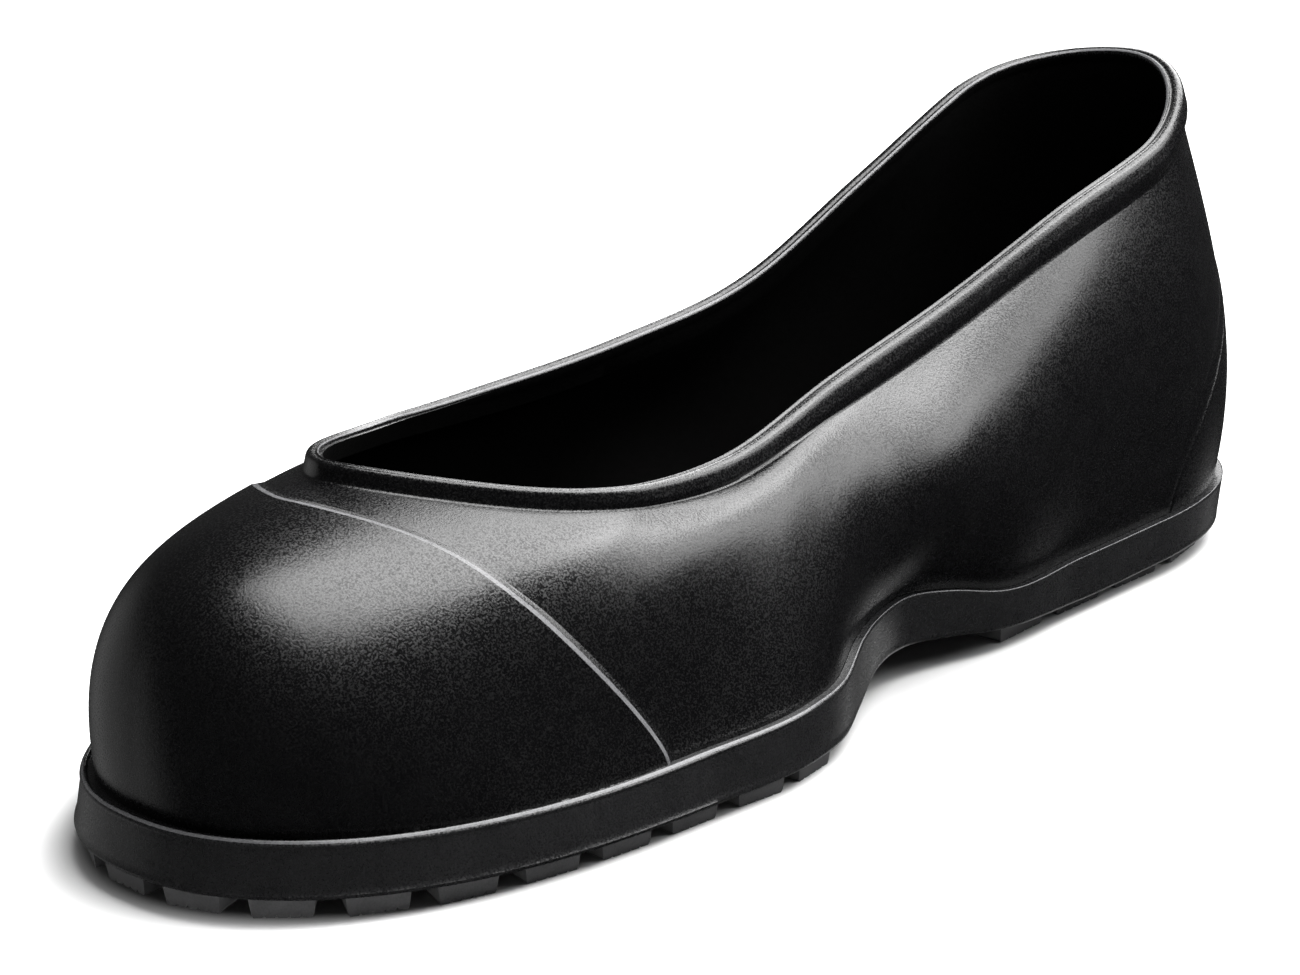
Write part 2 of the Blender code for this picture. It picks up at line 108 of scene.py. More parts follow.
# One row for each section of the sole, heel to toe
SOLE_ROWS = (
    SoleRow(0.00, 0.0405, 0.0400, 0.0160, 0.0045),
    SoleRow(0.12, 0.0385, 0.0405, 0.0150, 0.0041),
    SoleRow(0.26, 0.0405, 0.0410, 0.0145, 0.0035),
    SoleRow(0.36, 0.0425, 0.0420, 0.0152, 0.0055),
    SoleRow(0.40, 0.0405, 0.0430, 0.0182, 0.0071),
    SoleRow(0.44, 0.0397, 0.0446, 0.0202, 0.0083),
    SoleRow(0.48, 0.0432, 0.0475, 0.0206, 0.0081),
    SoleRow(0.52, 0.0490, 0.0512, 0.0200, 0.0045),
    SoleRow(0.56, 0.0555, 0.0545, 0.0163, 0.0033),
    SoleRow(0.60, 0.0590, 0.0570, 0.0154, 0.0034),
    SoleRow(0.70, 0.0580, 0.0590, 0.0141, 0.0034),
    SoleRow(0.85, 0.0550, 0.0560, 0.0144, 0.0038),
    SoleRow(1.00, 0.0525, 0.0480, 0.0166, 0.0056),
)

# One row for each section of the collar, back to throat
COLLAR_ROWS = (
    CollarRow(0.00, 0.0275, 0.0295, 0.1135, 0.1135),
    CollarRow(0.10, 0.0285, 0.0280, 0.1015, 0.1075),
    CollarRow(0.25, 0.0290, 0.0305, 0.0905, 0.0895),
    CollarRow(0.40, 0.0285, 0.0320, 0.0780, 0.0725),
    CollarRow(0.55, 0.0300, 0.0330, 0.0690, 0.0665),
    CollarRow(0.70, 0.0340, 0.0350, 0.0610, 0.0635),
    CollarRow(0.85, 0.0350, 0.0330, 0.0630, 0.0640),
    CollarRow(1.00, 0.0300, 0.0300, 0.0710, 0.0710),
)

# One row for each rib's bend, heel to toe
RIB_ROWS = (
    RibRow(0.00, 0.0312, 0.0082, 0.0082, 0.0308, 75.0, 0.0024),
    RibRow(0.08, 0.0314, 0.0058, 0.0058, 0.0266, 70.5, 0.0024),
    RibRow(0.20, 0.0315, 0.0050, 0.0050, 0.0250, 63.5, 0.0023),
    RibRow(0.35, 0.0292, 0.0112, 0.0090, 0.0194, 45.0, 0.0021),
    RibRow(0.44, 0.0282, 0.0184, 0.0110, 0.0175, 45.0, 0.0020),
    RibRow(0.51, 0.0265, 0.0036, 0.0030, 0.0152, 39.0, 0.0020),
    RibRow(0.62, 0.0207, -0.0068, -0.0050, 0.0208, 10.0, 0.0029),
    RibRow(0.72, 0.0217, -0.0062, -0.0050, 0.0273, 6.0, 0.0036),
    RibRow(0.85, 0.0235, -0.0056, -0.0050, 0.0257, 11.0, 0.0036),
    RibRow(0.95, 0.0306, 0.0036, 0.0036, 0.0274, 11.0, 0.0036),
    RibRow(1.00, 0.0388, 0.0026, 0.0026, 0.0401, 8.0, 0.0036),
)


def along(rows: tuple[NamedTuple, ...], name: str, share: np.ndarray) -> np.ndarray:
    """Reads a smooth curve through one column of a table.

    Args:
        rows: Table with a share in its first column.
        name: Column to read.
        share: Places along the table, from 0 to 1.

    Returns:
        The column's value at each place.
    """
    at = np.array([row.share for row in rows])
    value = np.array([getattr(row, name) for row in rows])
    step = np.diff(at)
    rise = np.diff(value) / step
    slope = np.empty_like(value)
    slope[0], slope[-1] = rise[0], rise[-1]
    slope[1:-1] = (step[1:] * rise[:-1] + step[:-1] * rise[1:]) / (step[:-1] + step[1:])
    k = np.clip(np.searchsorted(at, share, side="right") - 1, 0, len(step) - 1)
    t = (share - at[k]) / step[k]
    ends = (2 * t**3 - 3 * t**2 + 1) * value[k] + (3 * t**2 - 2 * t**3) * value[k + 1]
    bends = (t**3 - 2 * t**2 + t) * slope[k] + (t**3 - t**2) * slope[k + 1]
    return ends + bends * step[k]


def rounded_end(distance: np.ndarray, length: float, squareness: float) -> np.ndarray:
    """Gives the factor that closes a width in a round end.

    Args:
        distance: Distance from the tip.
        length: Distance over which the end closes.
        squareness: 2 for an ellipse, more for a squarer end.

    Returns:
        0 at the tip and 1 from the length onwards.
    """
    left = np.clip(1 - distance / length, 0, 1)
    return (1 - left**squareness) ** (1 / squareness)


def unit(vectors: np.ndarray) -> np.ndarray:
    """Vectors scaled to a length of one."""
    return vectors / np.linalg.norm(vectors, axis=-1, keepdims=True)


def raised(plan: np.ndarray, height: np.ndarray | float) -> np.ndarray:
    """Points in space from points in plan and their heights."""
    return np.concatenate([plan, np.broadcast_to(height, plan.shape[:-1])[..., None]], axis=-1)


def bezier(controls: np.ndarray, level: np.ndarray) -> np.ndarray:
    """Points at a share of each rib, from its four control points."""
    t = level[..., None]
    near = (1 - t) ** 3 * controls[0] + 3 * (1 - t) ** 2 * t * controls[1]
    return near + 3 * (1 - t) * t**2 * controls[2] + t**3 * controls[3]


def bezier_slope(controls: np.ndarray, level: np.ndarray) -> np.ndarray:
    """Direction of each rib at a share of it."""
    t = level[..., None]
    first, middle, last = (controls[k + 1] - controls[k] for k in range(3))
    return (1 - t) ** 2 * first + 2 * (1 - t) * t * middle + t**2 * last


def turn_of_share(share: float) -> float:
    """Turn on the inner side at a share of the length."""
    return math.acos(1 - 2 * share) / math.pi


@dataclass(frozen=True)
class LastForm:
    """The shoe's form: ribs from the sole's outline to the base of an upright riser below the collar.

    A turn goes once round the shoe: 0 at the heel, 0 to 1 along the inner side, 1 at the toe, 1 to 2 along
    the outer side. A level is a share of the rib at that turn, from its foot on the sole to the base.
    """

    length: float = 0.317
    heel_round: float = 0.0505
    heel_squareness: float = 2.0
    toe_round: float = 0.0855
    toe_squareness: float = 2.3
    toe_swing: float = 0.004
    swing_start: float = 0.55
    collar_back: float = 0.0160
    throat_to_toe: float = 0.0540
    collar_back_round: float = 0.0330
    collar_back_squareness: float = 2.0
    throat_round: float = 0.0495
    throat_squareness: float = 1.6
    riser_height: float = 0.0054
    riser_lean_deg: float = 12.0
    riser_slim: float = 0.38
    slim_from: float = 0.62
    slim_to: float = 0.87
    sole_thickness: float = 0.0050
    flare_heel: float = -0.0012
    flare_toe: float = 0.0018
    flare_from: float = 0.50
    flare_to: float = 0.70
    bend_pitch: float = 0.030
    nudge: float = 1e-3
    seat_columns: int = 600
    samples: int = 1200
    place: tuple[float, float] = (0.0, 0.0)

    def seated(self) -> "LastForm":
        """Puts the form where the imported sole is.

        Returns:
            The same form, moved in plan to the sole's box.
        """
        _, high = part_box("outsole")
        turn = self.stations(self.seat_columns)
        edge = self.outline(turn) + self.outward(turn) * self.flare(turn)[:, None]
        reach = edge.max(axis=0)
        return replace(self, place=(high.x - reach[0], high.y - reach[1]))

    def share(self, turn: np.ndarray) -> np.ndarray:
        """Share of the length at a turn."""
        return (1 - np.cos(np.pi * turn)) / 2

    def side(self, turn: np.ndarray) -> np.ndarray:
        """1 on the inner side and -1 on the outer side."""
        return np.where(np.sin(np.pi * turn) >= 0, 1.0, -1.0)

    def sided(self, rows: tuple[NamedTuple, ...], inner: str, outer: str, turn: np.ndarray) -> np.ndarray:
        """Reads a table's inner column on the inner side and its outer column on the other.

        Args:
            rows: Table to read.
            inner: Column of the inner side.
            outer: Column of the outer side.
            turn: Turns to read it at.

        Returns:
            The value at each turn.
        """
        share = self.share(turn)
        return np.where(self.side(turn) > 0, along(rows, inner, share), along(rows, outer, share))

    def lip(self, turn: np.ndarray) -> np.ndarray:
        """Height of the band's top edge."""
        return along(SOLE_ROWS, "lip", self.share(turn))

    def under(self, turn: np.ndarray) -> np.ndarray:
        """Height of the sole's underside."""
        return along(SOLE_ROWS, "under", self.share(turn))

    def forefoot(self, turn: np.ndarray) -> np.ndarray:
        """0 behind the waist and 1 along the forefoot."""
        return np.clip((self.share(turn) - self.flare_from) / (self.flare_to - self.flare_from), 0, 1)

    def flare(self, turn: np.ndarray) -> np.ndarray:
        """How far the band's lower edge stands out from its upper outline."""
        return self.flare_heel + (self.flare_toe - self.flare_heel) * self.forefoot(turn)

    def reach(self, turn: np.ndarray) -> np.ndarray:
        """Length of the rib's handle below the base."""
        return along(RIB_ROWS, "reach", self.share(turn))

    def outline(self, turn: np.ndarray, plain: bool = False) -> np.ndarray:
        """Draws the plan of the band's top edge.

        Args:
            turn: Turns of the points.
            plain: Leaves out the inner side's waist.

        Returns:
            Points in plan.
        """
        share = self.share(turn)
        ends = rounded_end(share * self.length, self.heel_round, self.heel_squareness)
        ends = ends * rounded_end((1 - share) * self.length, self.toe_round, self.toe_squareness)
        width = self.sided(SOLE_ROWS, "outer" if plain else "inner", "outer", turn)
        swing = self.toe_swing * np.clip((share - self.swing_start) / (1 - self.swing_start), 0, 1) ** 2
        plan = np.stack([self.length * (share - 0.5), swing + self.side(turn) * width * ends], axis=-1)
        return plan + np.array(self.place)

    def outward(self, turn: np.ndarray, plain: bool = False) -> np.ndarray:
        """Outward unit normals of the outline, in plan."""
        run = self.outline(turn + self.nudge, plain) - self.outline(turn - self.nudge, plain)
        return unit(np.stack([-run[..., 1], run[..., 0]], axis=-1))

    def collar(self, turn: np.ndarray) -> np.ndarray:
        """Line of the wall's outer top edge."""
        share = self.share(turn)
        run = self.length - self.collar_back - self.throat_to_toe
        ends = rounded_end(share * run, self.collar_back_round, self.collar_back_squareness)
        ends = ends * rounded_end((1 - share) * run, self.throat_round, self.throat_squareness)
        aside = self.side(turn) * self.sided(COLLAR_ROWS, "inner", "outer", turn) * ends
        plan = np.stack([self.collar_back - self.length / 2 + run * share, aside], axis=-1)
        height = self.sided(COLLAR_ROWS, "inner_height", "outer_height", turn)
        return raised(plan + np.array(self.place), height)

    def riser_size(self, turn: np.ndarray) -> np.ndarray:
        """Share of the riser's full height, less towards the throat."""
        part = np.clip((self.share(turn) - self.slim_from) / (self.slim_to - self.slim_from), 0, 1)
        return 1 - self.riser_slim * part**2 * (3 - 2 * part)

    def riser(self, turn: np.ndarray) -> tuple[np.ndarray, np.ndarray]:
        """Finds the riser's directions.

        Args:
            turn: Turns of the points.

        Returns:
            Unit vectors out of the riser and up along it.
        """
        run = (self.collar(turn + self.nudge) - self.collar(turn - self.nudge))[..., :2]
        out = unit(np.stack([-run[..., 1], run[..., 0]], axis=-1))
        lean = math.radians(self.riser_lean_deg)
        return raised(out * math.cos(lean), math.sin(lean)), raised(-out * math.sin(lean), math.cos(lean))

    def base(self, turn: np.ndarray) -> np.ndarray:
        """Line at the riser's foot, where the ribs end."""
        _, up = self.riser(turn)
        return self.collar(turn) - up * (self.riser_height * self.riser_size(turn))[..., None]

    def foot(self, turn: np.ndarray, plain: bool = False) -> np.ndarray:
        """Plan of the line where the upper's wall stands on the sole."""
        inset = along(RIB_ROWS, "inset", self.share(turn))
        return self.outline(turn, plain) - self.outward(turn, plain) * inset[..., None]

    def controls(self, turn: np.ndarray) -> np.ndarray:
        """Works out the four control points of each rib.

        Args:
            turn: Turns of the ribs.

        Returns:
            Foot, handle out of the sole, handle below the base and base, along the first axis.
        """
        share = self.share(turn)
        foot = raised(self.foot(turn), self.lip(turn))
        base = self.base(turn)
        lean = self.sided(RIB_ROWS, "inner_lean", "outer_lean", turn)
        reach = self.reach(turn)
        fall = np.radians(along(RIB_ROWS, "fall_deg", share))
        apart = unit(self.foot(turn, plain=True) - base[..., :2])
        low = foot + raised(self.outward(turn, plain=True) * lean[..., None], along(RIB_ROWS, "rise", share))
        high = base + raised(apart * (reach * np.cos(fall))[..., None], -reach * np.sin(fall))
        return np.stack([foot, low, high, base])

    def normal(self, turn: np.ndarray, level: np.ndarray) -> np.ndarray:
        """Outward unit normals of the form."""
        ahead = bezier(self.controls(turn + self.nudge), level)
        behind = bezier(self.controls(turn - self.nudge), level)
        return unit(np.cross(bezier_slope(self.controls(turn), level), ahead - behind))

    def surface(self, turn: np.ndarray, level: np.ndarray, out: np.ndarray | float = 0.0) -> np.ndarray:
        """Places points on the form or above it.

        Args:
            turn: Turns of the points.
            level: Shares of the ribs there.
            out: Distance outwards from the form.

        Returns:
            Points in space.
        """
        turn, level = np.broadcast_arrays(np.asarray(turn, float), np.asarray(level, float))
        lift = np.broadcast_to(out, turn.shape)[..., None]
        return bezier(self.controls(turn), level) + self.normal(turn, level) * lift

    def stations(self, side_columns: int) -> np.ndarray:
        """Spreads columns once round the shoe, even along the sole's edge and closer where it bends.

        Args:
            side_columns: Number of columns on either side.

        Returns:
            Turn of each column.
        """
        turn = np.linspace(0, 1, self.samples)
        step = np.diff(self.outline(turn), axis=0)
        heading = np.unwrap(np.arctan2(step[:, 1], step[:, 0]))
        bend = np.abs(np.diff(heading, prepend=heading[0]))
        walked = np.concatenate([[0], np.cumsum(np.linalg.norm(step, axis=1) + self.bend_pitch * bend)])
        half = np.interp(np.linspace(0, walked[-1], side_columns + 1), walked, turn)
        return np.concatenate([half, 2 - half[-2:0:-1]])


def grid_faces(rows: int, columns: int, loop: bool, base: int = 0) -> Faces:
    """Lists the faces of a grid whose rows climb a wall and whose columns run ahead round it.

    Args:
        rows: Number of rows.
        columns: Number of columns.
        loop: Whether the last column meets the first.
        base: Number of the grid's first vertex.

    Returns:
        Faces that point outwards.
    """
    faces = []
    for row in range(rows - 1):
        for column in range(columns if loop else columns - 1):
            a = base + row * columns + column
            b = base + row * columns + (column + 1) % columns
            faces.append((a, a + columns, b + columns, b))
    return faces


def closed_wall(outer: np.ndarray, inner: np.ndarray, loop: bool) -> tuple[np.ndarray, Faces]:
    """Joins two grids of the same size into a closed wall.

    Args:
        outer: Points of the outer skin, row by row.
        inner: Points of the inner skin.
        loop: Whether the wall runs once round.

    Returns:
        Vertices and faces.
    """
    rows, columns = outer.shape[:2]
    base, top = rows * columns, (rows - 1) * columns
    faces = grid_faces(rows, columns, loop)
    faces += [face[::-1] for face in grid_faces(rows, columns, loop, base)]
    for a in range(columns if loop else columns - 1):
        b = (a + 1) % columns
        faces.append((a, b, base + b, base + a))
        faces.append((top + b, top + a, base + top + a, base + top + b))
    if not loop:
        for row in range(rows - 1):
            a, b = row * columns, (row + 1) * columns - 1
            faces.append((a + columns, a, base + a, base + a + columns))
            faces.append((b, b + columns, base + b + columns, base + b))
    return np.concatenate([outer.reshape(-1, 3), inner.reshape(-1, 3)]), faces


def closed_bowl(rings: np.ndarray) -> tuple[np.ndarray, Faces]:
    """Joins rings from the footbed over the band to the underside, closed by strips from side to side.

    Args:
        rings: Points of each ring, once round the shoe.

    Returns:
        Vertices and faces.
    """
    rows, columns = rings.shape[:2]
    faces = [face[::-1] for face in grid_faces(rows, columns, True)]
    last = (rows - 1) * columns
    for k in range(columns // 2):
        across = list(dict.fromkeys([k, k + 1, columns - k - 1, (columns - k) % columns]))
        faces.append(tuple(across[::-1]))
        faces.append(tuple(last + corner for corner in across))
    return rings.reshape(-1, 3), faces


def closed_roll(grid: np.ndarray) -> tuple[np.ndarray, Faces]:
    """Joins a closed section, swept once round, into a closed roll.

    Args:
        grid: Points of the section's corners, each once round the shoe.

    Returns:
        Vertices and faces.
    """
    rows, columns = grid.shape[:2]
    count = rows * columns
    faces = [tuple(corner % count for corner in face) for face in grid_faces(rows + 1, columns, True)]
    return grid.reshape(-1, 3), faces


def linear(hex_colour: str) -> tuple[float, float, float, float]:
    """Linear colour of an sRGB hex value."""
    parts = [int(hex_colour[k:k + 2], 16) / 255 for k in (1, 3, 5)]
    return (*(p / 12.92 if p <= 0.04045 else ((p + 0.055) / 1.055) ** 2.4 for p in parts), 1.0)


def add_node(tree: bpy.types.NodeTree, kind: str, settings: dict[str, Any] | None = None,
             inputs: dict[str | int, Any] | None = None) -> bpy.types.Node:
    """Adds a node with its settings and links.

    Args:
        tree: Tree that takes the node.
        kind: Node type.
        settings: Properties of the node.
        inputs: Values of its sockets, or the output sockets that feed them.

    Returns:
        The new node.
    """
    node = tree.nodes.new(kind)
    for name, value in (settings or {}).items():
        setattr(node, name, value)
    for socket, value in (inputs or {}).items():
        if isinstance(value, bpy.types.NodeSocket):
            tree.links.new(value, node.inputs[socket])
        else:
            node.inputs[socket].default_value = value
    return node


@dataclass(frozen=True)
class RubberFinish:
    """Vulcanised black rubber from a mould: a near-black body under a half-gloss, finely grained skin."""

    name: str
    slot: str
    colour: str = "#040405"
    bloom: str = "#09090a"
    roughness: float = 0.26
    mottle: float = 0.02
    mottle_size: float = 8.0 * MM
    speckle: float = 0.16
    grain_size: float = 0.42 * MM
    grain_depth: float = 0.050 * MM
    grain_dull: float = 0.35
    noise_span: tuple[float, float] = (0.3, 0.7)
    shine_span: tuple[float, float] = (0.36, 0.64)
    wave_size: float = 6.0 * MM
    wave_depth: float = 0.05 * MM
    ior: float = 1.64
    specular: float = 0.5

    def painted_shade_inside(self) -> "RubberFinish":
        """The same rubber on the inside, darker and almost without gloss: painted shade for the hollow of the
        shoe.
        """
        return replace(self, name=f"{self.name}_inside", colour="#020202", bloom="#030303", roughness=0.8,
                       specular=0.06)

    def painted_highlight(self) -> "RubberFinish":
        """The same rubber painted a lighter grey along an edge, as a painted highlight line."""
        return replace(self, name=f"{self.name}_rubbed", colour="#4c4c4e", bloom="#747476",
                       mottle_size=3.0 * MM, roughness=0.32)

    def material(self) -> bpy.types.Material:
        """Builds the material.

        Returns:
            Rubber that reads Object coordinates.
        """
        material = bpy.data.materials.new(self.name)
        material.use_nodes = True
        tree = material.node_tree
        shader = tree.nodes["Principled BSDF"]
        place = add_node(tree, "ShaderNodeTexCoord").outputs["Object"]
        grain = add_node(tree, "ShaderNodeTexNoise", inputs={
            "Vector": place, "Scale": 1 / self.grain_size, "Detail": 2.0, "Roughness": 0.6})
        wave = add_node(tree, "ShaderNodeTexNoise", inputs={
            "Vector": place, "Scale": 1 / self.wave_size, "Detail": 1.0})
        patches = add_node(tree, "ShaderNodeTexNoise", inputs={
            "Vector": place, "Scale": 1 / self.mottle_size, "Detail": 4.0, "Roughness": 0.6})
        # Bloom: the greyer film that comes to the surface of rubber in cloudy patches
        colour = add_node(tree, "ShaderNodeMix", {"data_type": "RGBA"}, {
            "Factor": patches.outputs["Fac"], 6: linear(self.colour), 7: linear(self.bloom)})
        gloss = add_node(tree, "ShaderNodeMapRange", inputs={
            "Value": patches.outputs["Fac"], "From Min": self.noise_span[0], "From Max": self.noise_span[1],
            "To Min": self.roughness - self.mottle, "To Max": self.roughness + self.mottle})
        # Grain breaks the gloss into specks, drawn as coarse as they need to be to show
        specks = add_node(tree, "ShaderNodeMapRange", inputs={
            "Value": grain.outputs["Fac"], "From Min": self.noise_span[0], "From Max": self.noise_span[1],
            "To Min": -self.speckle, "To Max": self.speckle})
        rough = add_node(tree, "ShaderNodeMath", {"operation": "ADD"}, {
            0: gloss.outputs["Result"], 1: specks.outputs["Result"]})
        shine = add_node(tree, "ShaderNodeMapRange", inputs={
            "Value": grain.outputs["Fac"], "From Min": self.shine_span[0], "From Max": self.shine_span[1],
            "To Min": self.grain_dull, "To Max": 1.0})
        swell = add_node(tree, "ShaderNodeBump", inputs={
            "Height": wave.outputs["Fac"], "Distance": self.wave_depth, "Strength": 1.0})
        bump = add_node(tree, "ShaderNodeBump", inputs={
            "Height": grain.outputs["Fac"], "Distance": self.grain_depth, "Strength": 1.0,
            "Normal": swell.outputs["Normal"]})
        tree.links.new(colour.outputs[2], shader.inputs["Base Color"])
        tree.links.new(rough.outputs["Value"], shader.inputs["Roughness"])
        tree.links.new(shine.outputs["Result"], shader.inputs["Specular Tint"])
        tree.links.new(bump.outputs["Normal"], shader.inputs["Normal"])
        shader.inputs["IOR"].default_value = self.ior
        shader.inputs["Specular IOR Level"].default_value = self.specular
        return material


def show_piece(name: str, verts: np.ndarray, faces: Faces, finish: RubberFinish, node: str,
               sharp_deg: float = 40.0, inside: range = range(0),
               painted_highlight: range = range(0)) -> bpy.types.Object:
    """Makes a finished piece that takes the place of a CAD node.

    Args:
        name: Name of the piece.
        verts: Its vertices in the row's frame.
        faces: Its faces.
        finish: Rubber that it is made of.
        node: CAD node whose place it takes.
        sharp_deg: Edges that bend by more than this stay sharp.
        inside: Numbers of the faces that line the hollow of the shoe, which take the painted shade.
        painted_highlight: Numbers of the faces along an edge painted lighter grey as a painted highlight.

    Returns:
        The piece, riding on the shoe.
    """
    mesh = bpy.data.meshes.new(name)
    mesh.from_pydata(verts.tolist(), [], faces)
    mesh.shade_smooth()
    mesh.set_sharp_from_angle(angle=math.radians(sharp_deg))
    mesh.materials.append(finish.material())
    for numbers, variant in ((inside, finish.painted_shade_inside()), (painted_highlight, finish.painted_highlight())):
        if numbers:
            mesh.materials.append(variant.material())
        for number in numbers:
            mesh.polygons[number].material_index = len(mesh.materials) - 1
    piece = bpy.data.objects.new(name, mesh)
    bpy.context.scene.collection.objects.link(piece)
    return settle(piece, node)


def settle(piece: bpy.types.Object, node: str) -> bpy.types.Object:
    """Lets a piece ride on the shoe in place of a CAD node.

    Args:
        piece: Finished piece.
        node: CAD node whose place it takes.

    Returns:
        The piece.
    """
    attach(piece, "root")
    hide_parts(node)
    LOG.info("%s: %d faces", piece.name, len(piece.data.polygons))
    return piece


@dataclass
class Upper:
    """Hollow moulded upper: one wall, open at the collar and underneath."""

    form: LastForm
    finish: RubberFinish
    wall: float = 0.0022
    clearance: float = 0.0003
    side_columns: int = 170
    foot_levels: tuple[float, ...] = (0.0, 0.006, 0.012, 0.02, 0.03, 0.045)
    wall_start: float = 0.065
    wall_rows: int = 44
    top_sunk: float = 0.0006
    foot_flare: float = 0.0002
    flare_level: float = 0.012

    def build(self) -> bpy.types.Object:
        """Draws the wall from the footbed up the ribs and the riser to just under the bead's top.

        Returns:
            The upper.
        """
        turn = self.form.stations(self.side_columns)
        wall_levels = np.linspace(self.wall_start, 1.0, self.wall_rows)
        level = np.concatenate([self.foot_levels, wall_levels])[:, None]
        flare = self.foot_flare * np.exp(-level / self.flare_level)
        across, up = self.form.riser(turn)
        walls = []
        for out in (flare, np.full_like(level, -self.wall)):
            skin = self.form.surface(turn, level, out)
            edge = skin[:1].copy()
            edge[..., 2] = self.form.under(turn) + self.form.sole_thickness + self.clearance
            top = self.form.collar(turn) - up * self.top_sunk + across * out[-1]
            walls.append(np.concatenate([edge, skin, top[None]]))
        # The inner skin lines the hollow and takes its painted shade
        skin_faces = (len(walls[0]) - 1) * len(turn)
        return show_piece("upper_wall", *closed_wall(*walls, loop=True), self.finish, "upper",
                          inside=range(skin_faces, 2 * skin_faces))


@dataclass
class RaisedPatch:
    """Layer of rubber that stands proud of the upper, from the band up to a seam."""

    form: LastForm
    finish: RubberFinish
    columns: int = 360
    rows: int = 48
    margin: float = 0.0030
    margin_share: float = 0.35
    foot_level: float = -0.03
    foot_sunk: float = 0.0006
    back_share: float = 0.1

    def seam(self) -> tuple[np.ndarray, np.ndarray]:
        """Line of the patch's upper edge as turns and levels."""
        raise NotImplementedError

    def profile(self) -> np.ndarray:
        """Rows across the edge: distance beyond the seam and height above the upper."""
        raise NotImplementedError

    def step_share(self, turn: np.ndarray) -> np.ndarray:
        """Share of the patch's full height at each column."""
        return np.ones_like(turn)

    def grounded(self, turn: np.ndarray, level: np.ndarray) -> tuple[np.ndarray, np.ndarray]:
        """Drops both ends of a seam to the patch's foot.

        Args:
            turn: Turns of the seam's points.
            level: Levels of the seam's points.

        Returns:
            The seam with a point more at either end.
        """
        turn, level = (np.concatenate([line[:1], line, line[-1:]]) for line in (turn, level))
        level[[0, -1]] = self.foot_level
        return turn, level

    def even_seam(self) -> tuple[np.ndarray, np.ndarray, np.ndarray]:
        """Spreads the columns evenly along the seam.

        Returns:
            Turn, level and length walked at each column.
        """
        turn, level = self.seam()
        step = np.linalg.norm(np.diff(self.form.surface(turn, level), axis=0), axis=1)
        walked = np.concatenate([[0], np.cumsum(step)])
        even = np.linspace(0, walked[-1], self.columns)
        return np.interp(even, walked, turn), np.interp(even, walked, level), even

    def across(self, turn: np.ndarray, level: np.ndarray) -> np.ndarray:
        """Finds the direction square to the seam, on the form.

        Args:
            turn: Turns of the seam's points.
            level: Levels of the seam's points.

        Returns:
            Change of turn and level for each metre away from the patch.
        """
        nudge, place = self.form.nudge, self.form.surface
        by_turn = (place(turn + nudge, level) - place(turn - nudge, level)) / (2 * nudge)
        by_level = (place(turn, level + nudge) - place(turn, level - nudge)) / (2 * nudge)
        tangent = unit(np.gradient(place(turn, level), axis=0))
        away = np.cross(tangent, self.form.normal(turn, level))
        middle = len(turn) // 2
        away *= np.sign(away[middle] @ by_level[middle])
        pairs = (by_turn, by_turn), (by_turn, by_level), (by_level, by_level)
        aa, ab, bb = ((p * q).sum(-1) for p, q in pairs)
        pa, pb = (away * by_turn).sum(-1), (away * by_level).sum(-1)
        return np.stack([bb * pa - ab * pb, aa * pb - ab * pa], axis=-1) / (aa * bb - ab**2)[:, None]

    def skins(self) -> tuple[np.ndarray, np.ndarray]:
        """Draws the patch's outer and inner skin.

        Returns:
            Two grids of points: rows from the band over the seam's edge, columns along the seam.
        """
        turn, level, walked = self.even_seam()
        away = self.across(turn, level)
        from_end = np.minimum(walked, walked[-1] - walked)
        margin = np.minimum(self.margin, self.margin_share * from_end)
        foot_turn = turn[0] + (turn[-1] - turn[0]) * walked / walked[-1]
        top_turn, top_level = turn - away[:, 0] * margin, level - away[:, 1] * margin
        part = np.linspace(0, 1, self.rows)[:, None]
        edge = self.profile()
        distance, height = edge[:, :1], edge[:, 1:]
        turns = np.concatenate([foot_turn + (top_turn - foot_turn) * part, turn + away[:, 0] * distance])
        levels = np.concatenate([self.foot_level + (top_level - self.foot_level) * part,
                                 level + away[:, 1] * distance])
        out = np.concatenate([np.full((self.rows, 1), edge[0, 1]), height]) * self.step_share(turn)
        skins = []
        for above in (out, out * self.back_share):
            points = self.form.surface(turns, levels, np.broadcast_to(above, turns.shape))
            points[..., 2] = np.maximum(points[..., 2], self.form.lip(turns) - self.foot_sunk)
            skins.append(points)
        return skins[0], skins[1]


